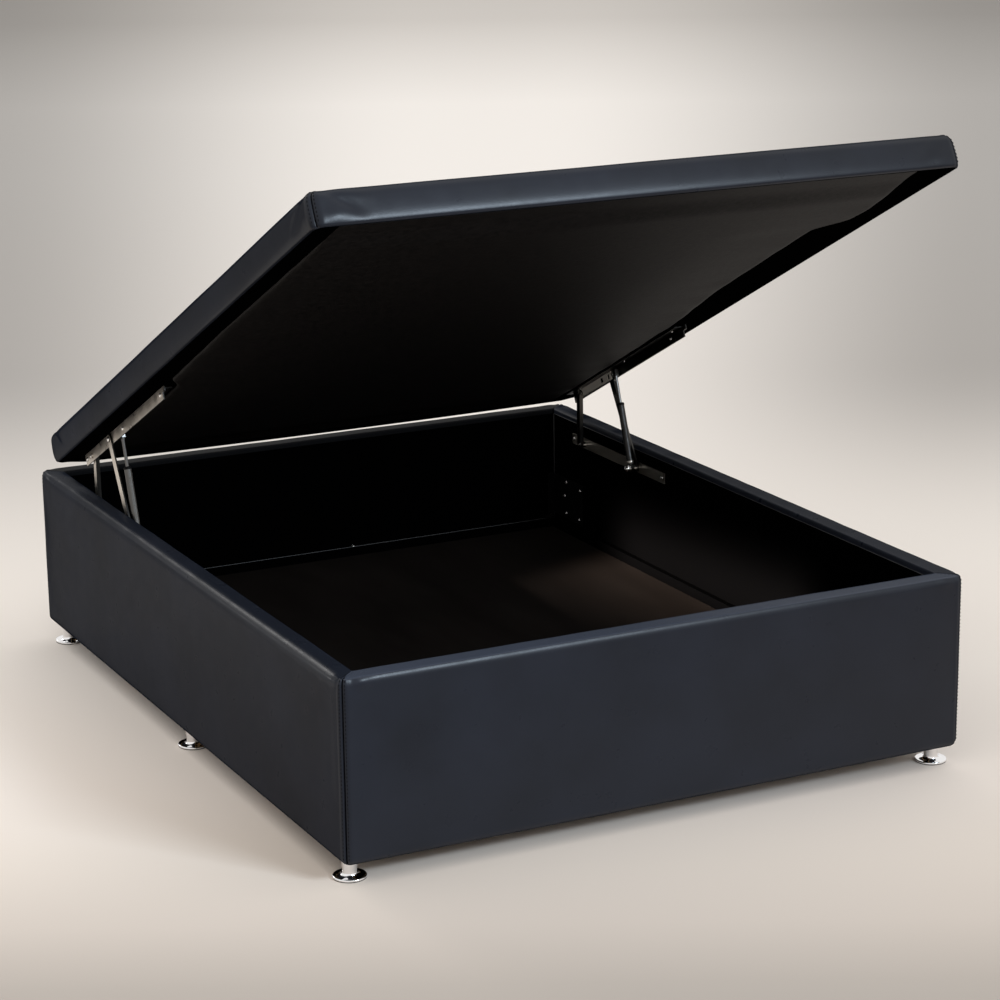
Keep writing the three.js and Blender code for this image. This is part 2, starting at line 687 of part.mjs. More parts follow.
// The gas strut: a tube with an eye on the front bolt, and a rod with an eye at the lid's rail.
function addStrut(name, side) {
  const tubeFoot = STRUT_LOWER_EYE_RADIUS + STRUT_NECK_LENGTH / 2;
  const boreRadius = STRUT_ROD_RADIUS + STRUT_BORE_CLEARANCE;
  const lowerHole = pin(side, FRONT_BOLT_RADIUS + BOLT_CLEARANCE, [
    eyeDepths[0] - OVERRUN,
    eyeDepths[1] + OVERRUN,
  ]);
  const tube = pin(side, STRUT_LOWER_EYE_RADIUS, eyeDepths)
    .subtract(lowerHole)
    .add(strutBar(side, STRUT_NECK_RADIUS, [STRUT_LOWER_EYE_RADIUS - FIT, tubeFoot + FIT]))
    .add(strutBar(side, STRUT_TUBE_RADIUS, [tubeFoot, STRUT_TUBE_TOP], STRUT_TUBE_CHAMFER))
    .subtract(
      strutBar(side, boreRadius, [tubeFoot + STRUT_BORE_FLOOR, STRUT_TUBE_TOP + OVERRUN]),
    );
  place(leaningGroup(frontPivot, strut.lean), `strut_cylinder_${name}`, tube, "steel");

  const eyeFoot = strut.length - STRUT_UPPER_EYE_RADIUS;
  const bossDepths = [railDepths[1] + RUN_GAP, eyeDepths[1] + RIVET_HEAD_LENGTH];
  const rod = strutBar(side, STRUT_ROD_RADIUS, [
    STRUT_TUBE_TOP - STRUT_ROD_INSIDE,
    strut.length - STRUT_ROD_RADIUS,
  ])
    .add(strutBar(side, STRUT_NECK_RADIUS, [eyeFoot - STRUT_NECK_LENGTH, eyeFoot + FIT]))
    .add(pin(side, STRUT_UPPER_EYE_RADIUS, eyeDepths, 0, strut.length))
    .add(pin(side, STRUT_NECK_RADIUS, bossDepths, 0, strut.length));
  place(leaningGroup(frontPivot, strut.lean), `strut_rod_${name}`, rod, "steel");
}

// The lid stands in its own leaning frame: Y from its head end backwards is negative, Z from its underside.
const lid = leaningGroup([openLid.y, openLid.z], openAngle);

// The padded cover of the lid: top, sides and a hem turned under all round.
function addLidCover() {
  const middle = -LID_LENGTH / 2;
  const inset = (distance, heights) =>
    centredBlock(HALF_WIDTH - distance, LID_LENGTH / 2 - distance, heights);
  const cover = paddedSlab(lidForm, [0, LID_THICKNESS])
    .subtract(paddedSlab(lidForm, [LID_BASE, LID_THICKNESS - LID_PADDING], LID_SKIN))
    .subtract(inset(LID_HEM, [-OVERRUN, LID_BASE + FIT]));
  place(lid, "lid_cover", cover.translate([0, middle, 0]), "leather");
}

// Inside the lid: a timber frame, two cross slats, the deck that the padding lies on, and the lining.
function addLidFrame() {
  const outer = LID_SKIN + FIT;
  const frameTop = LID_THICKNESS - LID_PADDING - DECK_THICKNESS - 2 * FIT;
  const heights = [LID_BASE + FIT, frameTop];
  const deckHeights = [frameTop + FIT, frameTop + FIT + DECK_THICKNESS];
  const halfWidth = HALF_WIDTH - outer;
  const run = [-LID_LENGTH + outer, -outer];
  const core = paddedSlab(lidForm, [heights[0], deckHeights[1]], outer).translate([
    0,
    -LID_LENGTH / 2,
    0,
  ]);
  const placeInside = (name, solid) => place(lid, name, solid.intersect(core), "timber");
  placeInside("lid_deck", block([-halfWidth, halfWidth], run, deckHeights));
  const railInner = halfWidth - LID_RAIL_WIDTH;
  placeInside("lid_frame_left", block([-halfWidth, -railInner], run, heights));
  placeInside("lid_frame_right", block([railInner, halfWidth], run, heights));
  const across = [-railInner + FIT, railInner - FIT];
  placeInside("lid_frame_foot", block(across, [run[0], run[0] + LID_RAIL_WIDTH], heights));
  placeInside("lid_frame_head", block(across, [run[1] - LID_RAIL_WIDTH, run[1]], heights));
  const pitch = (run[1] - run[0]) / (LID_SLAT_COUNT + 1);
  for (let count = 1; count <= LID_SLAT_COUNT; count += 1) {
    const middle = run[0] + count * pitch;
    const slatRun = [middle - LID_SLAT_WIDTH / 2, middle + LID_SLAT_WIDTH / 2];
    place(lid, `lid_slat_${count}`, block(across, slatRun, heights), "timber");
  }
  const hem = LID_HEM + FIT;
  const lining = block(
    [-HALF_WIDTH + hem, HALF_WIDTH - hem],
    [-LID_LENGTH + hem, -hem],
    [0, LID_BASE],
  );
  place(lid, "lid_lining", lining, "lining");
}

// The angle rail under the lid, its joint plate and the pin of the rear link.
function addLidRail(name, side) {
  const run = [-RAIL_START - RAIL_LENGTH, -RAIL_START];
  const drop = [-RAIL_HEIGHT, -FIT];
  const flange = block(
    acrossSpan(side, [railDepths[0], railDepths[0] + RAIL_FLANGE]),
    run,
    [-FIT - RAIL_THICKNESS, -FIT],
  );
  const hook = block(
    acrossSpan(side, railDepths),
    [run[0] - RAIL_HOOK_LENGTH, run[0] + FIT],
    [-RAIL_HOOK_HEIGHT, -FIT],
  );
  const through = [railDepths[0] - OVERRUN, jointPlateDepths[1] + OVERRUN];
  const rearHole = pin(
    side,
    REAR_BOLT_RADIUS + BOLT_CLEARANCE,
    through,
    -REAR_PIVOT_ALONG,
    -RAIL_PIVOT_DROP,
  );
  const rail = block(acrossSpan(side, railDepths), run, drop).add(flange).add(hook);
  place(lid, `lift_rail_${name}`, rail.subtract(rearHole), "steel");

  const plateRun = [
    -FRONT_PIVOT_ALONG - JOINT_PLATE_MARGIN,
    -REAR_PIVOT_ALONG + JOINT_PLATE_MARGIN,
  ];
  const plateHeights = [
    -RAIL_PIVOT_DROP - JOINT_PLATE_HEIGHT / 2,
    -RAIL_PIVOT_DROP + JOINT_PLATE_HEIGHT / 2,
  ];
  const half = JOINT_PLATE_WINDOW / 2;
  const opening = block(
    acrossSpan(side, [jointPlateDepths[0] - FIT / 2, jointPlateDepths[1] + OVERRUN]),
    [-FRONT_PIVOT_ALONG - half, -FRONT_PIVOT_ALONG + half],
    [-RAIL_PIVOT_DROP - half, -RAIL_PIVOT_DROP + half],
  );
  const jointPlate = block(acrossSpan(side, jointPlateDepths), plateRun, plateHeights)
    .subtract(rearHole)
    .subtract(opening);
  place(lid, `joint_plate_${name}`, jointPlate, "steel");

  const webInner = rearLinkDepths[0] + REAR_LINK_WEB + FIT;
  const headOuter = railDepths[0] - FIT;
  const profile = [
    [0, headOuter - RIVET_HEAD_LENGTH],
    [RIVET_HEAD_RADIUS, headOuter - RIVET_HEAD_LENGTH],
    [RIVET_HEAD_RADIUS, headOuter],
    [REAR_BOLT_RADIUS, headOuter],
    [REAR_BOLT_RADIUS, webInner],
    [REAR_BOLT_HEAD_RADIUS, webInner],
    [REAR_BOLT_HEAD_RADIUS, webInner + RIVET_HEAD_LENGTH],
    [0, webInner + RIVET_HEAD_LENGTH],
  ];
  const rivet = turnedAcross(side, profile, BOLT_SIDES);
  const seat = [0, -REAR_PIVOT_ALONG, -RAIL_PIVOT_DROP];
  place(lid, `lid_pivot_pin_${name}`, rivet.translate(seat), "steel");
}

const holes = studHoles();
addCovers(holes);
addWallBoards(holes);
addLinings();
addFloor();
addCornerBrackets();
addGlides();
addLidCover();
addLidFrame();
for (const [name, side] of Object.entries(SIDES)) {
  addBasePlate(name, side);
  addLowerBolts(name, side);
  addRearLink(name, side);
  addFrontLink(name, side);
  addStrut(name, side);
  addLidRail(name, side);
}

export default group;
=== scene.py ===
import itertools
import json
import math

import bpy
from mathutils import Matrix, Vector, noise


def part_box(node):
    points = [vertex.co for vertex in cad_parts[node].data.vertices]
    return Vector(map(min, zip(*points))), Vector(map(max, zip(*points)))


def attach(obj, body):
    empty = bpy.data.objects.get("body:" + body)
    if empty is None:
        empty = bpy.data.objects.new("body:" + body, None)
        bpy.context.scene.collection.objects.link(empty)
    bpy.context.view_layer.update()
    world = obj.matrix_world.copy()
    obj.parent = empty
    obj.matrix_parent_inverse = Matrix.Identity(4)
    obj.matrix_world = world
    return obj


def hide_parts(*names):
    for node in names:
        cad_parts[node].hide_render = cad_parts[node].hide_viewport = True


# A storage divan base with its lid open: upholstery, fittings, light and camera.
# Metres, in the frame's own axes: X across the bed, Y to the head end, Z up.

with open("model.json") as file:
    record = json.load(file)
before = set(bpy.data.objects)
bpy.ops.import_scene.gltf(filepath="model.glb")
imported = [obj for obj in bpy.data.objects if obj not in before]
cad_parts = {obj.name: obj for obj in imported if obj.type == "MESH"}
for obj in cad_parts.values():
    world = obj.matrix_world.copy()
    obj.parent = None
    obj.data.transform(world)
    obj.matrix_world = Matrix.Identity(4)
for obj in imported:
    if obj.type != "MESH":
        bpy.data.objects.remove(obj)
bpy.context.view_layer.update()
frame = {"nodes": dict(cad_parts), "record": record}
scene = bpy.context.scene
record = frame["record"]

ACROSS = Vector((1, 0, 0))
BACK = Vector((0, 1, 0))
UP = Vector((0, 0, 1))
SIDES = (("left", -1), ("right", 1))
ENDS = (("foot", -1), ("head", 1))
SEAM_ENDS = (("start", -1), ("end", 1))

# Sizes read from the frame
left_low, left_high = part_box("left_cover")
right_low, right_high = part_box("right_cover")
HALF_WIDTH = right_high[0]
HALF_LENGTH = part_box("head_cover")[1][1]
BASE = left_low[2]
RIM = left_high[2]
WALL = right_high[0] - right_low[0]
INNER_HALF_WIDTH = HALF_WIDTH - WALL
INNER_HALF_LENGTH = HALF_LENGTH - WALL

# Upholstery of the box
CORNER_RADIUS = 0.021
EDGE_RADIUS = 0.018
INNER_EDGE_RADIUS = 0.005
SHOULDER_TURN = 30.0
SHOULDER_RADIUS = 0.006
SIDE_RADIUS = 0.028
ROUND_RADIUS = 0.028
ROUND_RUN = 0.055
SMALLEST_RADIUS = 0.0008
COVER_SKIN = 0.006
WALL_BULGE = 0.0028
BULGE_EDGE = 0.05
COVER_BASE = 0.002
COVER_HEM = 0.042
RIM_RETURN = 0.014
RIM_RETURN_SKIN = 0.002
RIM_HIGHEST = 0.0002
LOOKS_UP = 0.5
LOOKS_DOWN = -0.5
RIM_SWAY = 0.0004
COVER_INNER_RADIUS = 0.012
FACE_STEP = 0.010
ARC_STEPS = 9
SOFT_ANGLE = 50.0
CORNER_SHARES = (0.0, 0.02, 0.045, 0.08, 0.12, 0.17, 0.24, 0.33, 0.44, 0.57, 0.71, 0.85)
FINE_STEP = 0.005
FINE_RUN = 0.12
COARSE_STEP = 0.014

# Sewn corners
SEAM_HALF_GAP = 0.0005
SEAM_DEPTH = 0.0026
SEAM_WIDTH = 0.0022
SEAM_CORD_RADIUS = 0.0014
DIP_DEPTH = 0.0009
DIP_WIDTH = 0.0055
WELT_HEIGHT = 0.0006
WELT_PLACE = 0.011
STITCH_OFFSET = 0.0062
STITCH_PITCH = 0.0084
STITCH_LENGTH = 0.0042
STITCH_RADIUS = 0.0011
STITCH_SINK = 0.0007
# Rings of a stitch: (share of its length, share of its radius)
STITCH_RINGS = [(0.0, 0.45), (0.18, 1.0), (0.82, 1.0), (1.0, 0.45)]
CORD_SIDES = 6

# Unevenness: (rise, noise cells a metre one way, and the other, place in the noise)
WALL_WAVES = (0.0005, 4.0, 6.0, 0.0)
CORNER_WAVES = (0.0007, 22.0, 9.0, 5.0)
CORNER_WAVES_REACH = 0.05
TOP_WAVES = (0.00032, 42.0, 9.0, 8.0)
TOP_WAVES_DROP = 0.045
TOP_WAVES_WIDTH = 0.040
RIM_WAVES = (0.0005, 14.0, 1.0, 0.0)
LID_WAVES = (0.0006, 5.0, 9.0, 0.0)
LID_CORNER_WAVES = (0.0008, 22.0, 24.0, 3.0)
LID_CORNER_WAVES_REACH = 0.06
CROWN_WAVES = (0.0008, 5.0, 5.0, 2.0)
DUST_WAVES = (0.0012, 2.5, 2.5, 1.0)
DUST_RIPPLE = (0.0022, 5.0, 13.0, 6.0)
DUST_RIPPLE_REACH = 0.08
DUST_EDGE_WAVES = (0.003, 14.0, 1.0, 0.0)
DUST_EDGE_SEED = 3.0

# Gathers beside a corner seam: (place, widths, rise)
GATHERS = [
    ((0.050, 0.007), (0.020, 0.014), 0.0021),
    ((0.025, 0.010), (0.011, 0.019), -0.0019),
    ((0.062, -0.014), (0.030, 0.008), -0.0006),
    ((0.030, -0.016), (0.006, 0.014), 0.0005),
]
LID_GATHER = ((0.048, 0.022), (0.024, 0.015), 0.0019)
# Folds in the lid's side beside a corner seam: (start, end, rise, width)
LID_FOLDS = [
    ((0.012, 0.084), (0.125, 0.012), -0.0034, 0.011),
    ((0.050, 0.074), (0.160, 0.040), 0.0007, 0.012),
]

# Lid
LID_LENGTH = 1.910
LID_HALF_LENGTH = LID_LENGTH / 2
LID_THICKNESS = 0.078
LID_CORNER_RADIUS = 0.024
LID_TOP_RADIUS = 0.022
LID_BOTTOM_RADIUS = 0.006
LID_FACE_STEP = 0.004
LID_SWELL = 0.0100
LIP_DROOP = 0.0092
LIP_SPAN = 0.66
LIP_EVEN = 0.55
LIP_CORNER = 0.06
LIP_REACH = 0.0115
LIP_INNER = 0.0045
LIP_HEIGHT = 0.045
LIP_INWARD_POWER = 1.7
LIP_UPWARD_POWER = 1.5
LID_HEM = 0.040
LID_BASE = 0.003
LID_SKIN = 0.008
LID_PADDING = 0.018
LID_INNER_RADIUS = 0.012
LID_CROWN = 0.006
CROWN_REACH = 0.18
LID_TOP_RINGS = 36
LID_RING_POWER = 1.4
LID_LOOKS_DOWN = -0.6
LID_STITCH_END = 0.8

# Dust cover under the lid: (distance from the head end, distance from the middle)
DUST_RIGHT_EDGE = [
    (0.008, 0.655),
    (0.34, 0.647),
    (0.72, 0.640),
    (1.13, 0.603),
    (1.53, 0.594),
    (1.60, 0.664),
    (1.66, 0.668),
    (1.9035, 0.640),
]
DUST_LEFT_EDGE = [(0.008, 0.650), (0.70, 0.652), (0.80, 0.688), (1.20, 0.696), (1.9035, 0.697)]
DUST_GAP = 0.00005
DUST_THICKNESS = 0.00035
DUST_ROLL = 0.007
DUST_ROLL_WIDTH = 0.020
DUST_SAG = 0.004
DUST_SAG_WIDTH = 0.30
DUST_FLAT_END = 0.060
DUST_FALL = 0.10
DUST_STEP = 0.012
DUST_COLUMNS = 120

mattress_face = next(m for m in record["mounts"] if m["name"] == "mattress_face")
LID_ANGLE = math.atan2(mattress_face["axis"][1], mattress_face["axis"][2])
LID_ALONG = Vector((0.0, -math.cos(LID_ANGLE), math.sin(LID_ANGLE)))
LID_UP = Vector((0.0, math.sin(LID_ANGLE), math.cos(LID_ANGLE)))
LID_CORNER = Vector(mattress_face["pos_m"]) - LID_ALONG * LID_HALF_LENGTH - LID_UP * LID_THICKNESS


def lid_point(across, along, above):
    """A point of the lid from its head end, along it, and from its underside, up."""
    return LID_CORNER + ACROSS * across + LID_ALONG * along + LID_UP * above


# Node materials

NOISE_MIDDLE = (0.3, 0.7)
LEATHER_DARK = (0.0108, 0.0127, 0.0180)
LEATHER_LIGHT = (0.0141, 0.0168, 0.0248)
# Painted light: a lighter colour for the foot wall's up-facing faces, standing in for light from
# above on the foot rim
FOOT_RIM_PAINTED_LIGHT = (0.046, 0.053, 0.072)
FLOOR_BROWN = (0.0120, 0.0098, 0.0086)
FLOOR_DARK = (0.0078, 0.0063, 0.0055)
FLOOR_LIGHT = (0.0114, 0.0094, 0.0083)
NICKEL = (0.66, 0.615, 0.555)
# Painted shade for the rails' and links' faces turned towards the bed
PAINTED_CHANNEL_SHADE = (0.055, 0.052, 0.048)
ALONG_X = (0.2, 1.0, 1.0)
ALONG_YZ = (1.0, 0.2, 0.2)
SOFTWOOD = (0.43, 0.28, 0.13)
SOFTWOOD_DARK = (0.36, 0.22, 0.10)
SOFTWOOD_LIGHT = (0.50, 0.34, 0.17)
PAINTED_LIGHT_UPWARD = (0.5, 0.95)
LEATHER_ROUGHNESS = (0.27, 0.34)
BOARD_ROUGHNESS = (0.38, 0.48)
RAIL_ROUGHNESS = (0.26, 0.42)
BRUSH_SMOOTHER = 0.08
BRUSH_ROUGHER = 0.10
# Bumps: (strength, depth in metres)
CREASE_BUMP = (0.17, 0.0006)
GRAIN_BUMP = (0.25, 0.0003)
WEAVE_BUMP = (0.5, 0.0008)
BOARD_BUMP = (0.08, 0.0005)
BRUSH_BUMP = (0.12, 0.0002)
ALONG_Y = (1.0, 0.2, 1.0)
ALONG_Z = (1.0, 1.0, 0.1)
BRUSH_SCALE = 160.0
# How much the leather shines: (how far it is turned from the eye's line, gloss)
LEATHER_GLOSS = [(0.0, 0.175), (0.36, 0.22), (0.5, 0.13), (0.6, 0.022), (0.7, 0.008), (0.77, 0.0)]


def connect(tree, node, inputs):
    """Sets a node's inputs, each to a number or colour or to another node's output."""
    for name, value in inputs.items():
        if isinstance(value, bpy.types.NodeSocket):
            tree.links.new(value, node.inputs[name])
        else:
            node.inputs[name].default_value = value


def add_node(tree, kind, output, inputs, **settings):
    """Adds a node with its inputs and settings, and gives one of its outputs."""
    node = tree.nodes.new(f"ShaderNode{kind}")
    for name, value in settings.items():
        setattr(node, name, value)
    connect(tree, node, inputs)
    return node.outputs[output]


def new_material(name, color, roughness, metallic=0.0, specular=0.5):
    material = bpy.data.materials.new(name)
    material.use_nodes = True
    tree = material.node_tree
    shader = tree.nodes["Principled BSDF"]
    connect(tree, shader, {"Base Color": (*color, 1.0), "Roughness": roughness})
    connect(tree, shader, {"Metallic": metallic, "Specular IOR Level": specular})
    return material, tree, shader


def plain_material(name, color, roughness, specular=0.5):
    return new_material(name, color, roughness, specular=specular)[0]


def math_node(tree, operation, *values):
    return add_node(tree, "Math", "Value", dict(enumerate(values)), operation=operation)


def placed(tree, name, value):
    """The place on a piece, with one of the mapping's numbers set."""
    inputs = {"Vector": add_node(tree, "TexCoord", "Object", {}), name: value}
    return add_node(tree, "Mapping", "Vector", inputs)


def noise_node(tree, scale, detail, stretch=(1.0, 1.0, 1.0), roughness=0.5):
    place = placed(tree, "Scale", stretch)
    inputs = {"Vector": place, "Scale": scale, "Detail": detail, "Roughness": roughness}
    return add_node(tree, "TexNoise", "Fac", inputs)


def cell_node(tree, scale):
    inputs = {"Vector": add_node(tree, "TexCoord", "Object", {}), "Scale": scale}
    return add_node(tree, "TexVoronoi", "Distance", inputs, feature="DISTANCE_TO_EDGE")


def mapped(tree, value, source, target=(0.0, 1.0), ease="LINEAR"):
    """Maps one range of a number onto another."""
    inputs = {"Value": value, "From Min": source[0], "From Max": source[1]}
    inputs.update({"To Min": target[0], "To Max": target[1]})
    return add_node(tree, "MapRange", "Result", inputs, interpolation_type=ease)


def spread(tree, value, low, high):
    """Maps the middle of a noise onto a range of numbers."""
    return mapped(tree, value, NOISE_MIDDLE, (low, high))


def mixed(tree, share, first, second):
    inputs = {"Factor": share, "A": first, "B": (*second, 1.0)}
    return add_node(tree, "Mix", "Result", inputs, data_type="RGBA")


def tint(tree, value, dark, light):
    return mixed(tree, spread(tree, value, 0.0, 1.0), (*dark, 1.0), light)


def ramp(tree, value, low, high, stops):
    """A colour ramp over a range of a number; its stops are (place, colour)."""
    color = add_node(tree, "ValToRGB", "Color", {"Fac": mapped(tree, value, (low, high))})
    elements = color.node.color_ramp.elements
    while len(elements) > 1:
        elements.remove(elements[-1])
    elements[0].position = (stops[0][0] - low) / (high - low)
    elements[0].color = (*stops[0][1], 1.0)
    for place, shade in stops[1:]:
        elements.new((place - low) / (high - low)).color = (*shade, 1.0)
    return color


def bump(tree, shader, layers):
    """Chains bump layers of (height socket, strength, distance in metres) into a shader."""
    inputs = {}
    for height, strength, distance in layers:
        inputs.update({"Height": height, "Strength": strength, "Distance": distance})
        inputs["Normal"] = add_node(tree, "Bump", "Normal", inputs)
    connect(tree, shader, {"Normal": inputs["Normal"]})


def facing_share(tree, axis):
    """How far a face looks along an axis."""
    normal = add_node(tree, "NewGeometry", "Normal", {})
    return add_node(tree, "SeparateXYZ", axis, {"Vector": normal})


def leather_material(name, top=None):
    """Navy leather. A top colour, if given, is painted onto the faces that look up: painted light
    from above.
    """
    material, tree, shader = new_material(name, LEATHER_LIGHT, 0.42, specular=0.2)
    color = tint(tree, noise_node(tree, 5.0, 4.0), LEATHER_DARK, LEATHER_LIGHT)
    if top:
        # Paints the top colour onto faces that look up: painted light
        color = mixed(tree, mapped(tree, facing_share(tree, "Z"), PAINTED_LIGHT_UPWARD), color, top)
    turned_away = add_node(tree, "LayerWeight", "Facing", {})
    stops = [(place, (gloss, gloss, gloss)) for place, gloss in LEATHER_GLOSS]
    roughness = spread(tree, noise_node(tree, 24.0, 4.0), *LEATHER_ROUGHNESS)
    connect(tree, shader, {"Base Color": color, "Roughness": roughness})
    connect(tree, shader, {"Specular IOR Level": ramp(tree, turned_away, 0.0, 1.0, stops)})
    crease = noise_node(tree, 190.0, 5.0)
    grain = cell_node(tree, 620.0)
    bump(tree, shader, [(crease, *CREASE_BUMP), (grain, *GRAIN_BUMP)])
    return material


def cloth_material(name, color, light, weave, roughness, specular):
    material, tree, shader = new_material(name, color, roughness, specular=specular)
    threads = noise_node(tree, weave, 6.0, roughness=0.7)
    connect(tree, shader, {"Base Color": tint(tree, threads, color, light)})
    bump(tree, shader, [(threads, *WEAVE_BUMP)])
    return material


def floor_board_material():
    material, tree, shader = new_material("floor_laminate", FLOOR_BROWN, 0.5, specular=0.0)
    grain = noise_node(tree, 9.0, 6.0, stretch=(1.0, 0.25, 1.0))
    color = tint(tree, grain, FLOOR_DARK, FLOOR_LIGHT)
    roughness = spread(tree, grain, *BOARD_ROUGHNESS)
    connect(tree, shader, {"Base Color": color, "Roughness": roughness})
    bump(tree, shader, [(noise_node(tree, 60.0, 4.0), *BOARD_BUMP)])
    return material


def brush(tree, shader, stretch, smoothest, roughest):
    """Fine streaks of a brushed metal."""
    streaks = noise_node(tree, BRUSH_SCALE, 4.0, stretch)
    connect(tree, shader, {"Roughness": spread(tree, streaks, smoothest, roughest)})
    bump(tree, shader, [(streaks, *BRUSH_BUMP)])


def metal_material(name, color, roughness, stretch=None, metallic=1.0):
    material, tree, shader = new_material(name, color, roughness, metallic)
    if stretch:
        brush(tree, shader, stretch, roughness - BRUSH_SMOOTHER, roughness + BRUSH_ROUGHER)
    return material


def rail_material(name, side):
    """Nickel on the faces turned away from the bed; the others are painted dark, a painted shade
    for the dark of the channel.
    """
    material, tree, shader = new_material(name, NICKEL, 0.33, metallic=1.0)
    outward = math_node(tree, "MULTIPLY", facing_share(tree, "X"), side)
    connect(tree, shader, {"Base Color": tint(tree, outward, PAINTED_CHANNEL_SHADE, NICKEL)})
    brush(tree, shader, ALONG_YZ, *RAIL_ROUGHNESS)
    return material


def timber_material():
    material, tree, shader = new_material("softwood", SOFTWOOD, 0.7)
    rings = noise_node(tree, 18.0, 5.0, stretch=(1.0, 0.08, 1.0))
    connect(tree, shader, {"Base Color": tint(tree, rings, SOFTWOOD_DARK, SOFTWOOD_LIGHT)})
    return material


leather = leather_material("navy_leather")
# The foot wall's leather, with painted light on its rim top
foot_leather_painted_light = leather_material("navy_leather_foot_painted_light", FOOT_RIM_PAINTED_LIGHT)
lining = cloth_material(
    "lining_cloth", (0.0004, 0.0004, 0.0004), (0.0009, 0.0009, 0.0010), 500.0, 0.9, 0.0
)
dust_cloth = cloth_material(
    "dust_cloth", (0.0014, 0.0012, 0.0012), (0.0110, 0.0094, 0.0090), 75.0, 0.6, 0.07
)
# Painted shade: a near-black cloth for the head rim's top, standing in for the lid's shade over it
painted_shade_rim_cloth = cloth_material(
    "painted_shade_rim_cloth", (0.0018, 0.0019, 0.0023), (0.0036, 0.0038, 0.0046), 240.0, 0.6, 0.05
)
# Painted highlight: a grey for thin beads standing in for the light caught on the inner rim edges
# and the battens' top edges
painted_highlight_trim = plain_material("painted_highlight_trim", (0.055, 0.055, 0.057), 0.5)
trim_dark = plain_material("trim_dark", (0.014, 0.014, 0.015), 0.45)
black_paint = plain_material("black_paint", (0.0025, 0.0025, 0.0028), 0.5, 0.08)
thread = plain_material("thread", (0.0040, 0.0045, 0.0060), 0.7, 0.1)
seam_thread = plain_material("seam_thread", (0.0012, 0.0012, 0.0014), 0.8, 0.02)
nickel = metal_material("nickel", NICKEL, 0.33, ALONG_YZ)
dark_nickel = metal_material("dark_nickel", (0.032, 0.031, 0.030), 0.34, ALONG_Z)
# Painted reflection: a lighter nickel for the left strut's tube, standing in for the bright side of
# the room it mirrors
painted_reflection_tube = metal_material("painted_reflection_tube", (0.105, 0.101, 0.096), 0.30, ALONG_Z)
rod_steel = metal_material("rod_steel", (0.12, 0.116, 0.112), 0.28)
plate_steel = metal_material("plate_steel", (0.32, 0.295, 0.255), 0.42, ALONG_Y)
satin_plate = metal_material("satin_plate", (0.78, 0.72, 0.64), 0.45, ALONG_X, metallic=0.1)
bright_steel = metal_material("bright_steel", (0.80, 0.79, 0.77), 0.18)
chrome = metal_material("chrome", (0.86, 0.86, 0.87), 0.05)

slot_materials = {
    "leather": leather,
    "lining": lining,
    "timber": timber_material(),
    "floor_board": floor_board_material(),
    "black_steel": black_paint,
    "steel": nickel,
    "chrome": bright_steel,
}


def dress(name, material):
    node = frame["nodes"][name]
    node.data.materials.clear()
    node.data.materials.append(material)


for part in record["subparts"]:
    dress(part["node"], slot_materials[part["material_slot"]])
# The left tube gets the lighter painted reflection; the right one gets the dark nickel, painted
# shade for the dark box it mirrors
dress("strut_cylinder_left", painted_reflection_tube)
dress("strut_cylinder_right", dark_nickel)
for side_name, side in SIDES:
    channel = rail_material(f"channel_nickel_{side_name}", side)
    for part_name in ("lift_rail", "rear_link", "front_link"):
        dress(f"{part_name}_{side_name}", channel)
    dress(f"strut_rod_{side_name}", rod_steel)
    dress(f"base_plate_{side_name}", plate_steel)
    dress(f"joint_plate_{side_name}", satin_plate)


# Meshes


def add_piece(name, points, faces, material, body, sharp_degrees=40.0):
    mesh = bpy.data.meshes.new(name)
    mesh.from_pydata([tuple(point) for point in points], [], faces)
    mesh.update()
    mesh.materials.append(material)
    for polygon in mesh.polygons:
        polygon.use_smooth = True
    mesh.set_sharp_from_angle(angle=math.radians(sharp_degrees))
    piece = bpy.data.objects.new(name, mesh)
    scene.collection.objects.link(piece)
    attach(piece, body)
    return piece


def ring_faces(first, rings, count, flipped=False):
    """Faces round a tube of rings of points, with a cap on each end."""
    faces = []
    for ring in range(rings - 1):
        for step in range(count):
            a = first + ring * count + step
            b = first + ring * count + (step + 1) % count
            if flipped:
                a, b = b, a
            faces.append((a, b, b + count, a + count))
    last = first + (rings - 1) * count
    way = 1 if flipped else -1
    faces.append(tuple(range(first, first + count))[::way])
    faces.append(tuple(range(last, last + count))[::-way])
    return faces


def arc(centre, radius, start, end, steps):
    """Points of an arc between two angles in degrees, both ends included."""
    angles = [math.radians(start + (end - start) * step / steps) for step in range(steps + 1)]
    return [
        (centre[0] + radius * math.cos(angle), centre[1] + radius * math.sin(angle))
        for angle in angles
    ]


def divided(start, end, step):
    """Points of a straight run between two points, without its ends."""
    count = max(1, round(math.dist(start, end) / step))
    run = (end[0] - start[0], end[1] - start[1])
    return [
        (start[0] + run[0] * index / count, start[1] + run[1] * index / count)
        for index in range(1, count)
    ]


def joined(runs, step):
    """One path through several runs, with the gaps between them divided."""
    path = list(runs[0])
    for run in runs[1:]:
        path += divided(path[-1], run[0], step)
        path += run
    return path


def path_normals(path):
    """Outward normals (out, up) of a path of (inset, height), from its neighbours."""
    normals = []
    for index in range(len(path)):
        before = path[max(index - 1, 0)]
        after = path[min(index + 1, len(path) - 1)]
        run = (after[0] - before[0], after[1] - before[1])
        length = math.hypot(*run)
        normals.append((run[1] / length, run[0] / length))
    return normals


def bell(distance, width):
    return math.exp(-((distance / width) ** 2))


def smooth(share):
    share = max(0.0, min(1.0, share))
    return share * share * (3 - 2 * share)


def seam_relief(distance):
    """A sewn corner: the skin dips into the seam and swells a little beside it."""
    dip = SEAM_DEPTH * bell(distance, SEAM_WIDTH) + DIP_DEPTH * bell(distance, DIP_WIDTH)
    return WELT_HEIGHT * bell(distance - WELT_PLACE, WELT_PLACE / 2) - dip


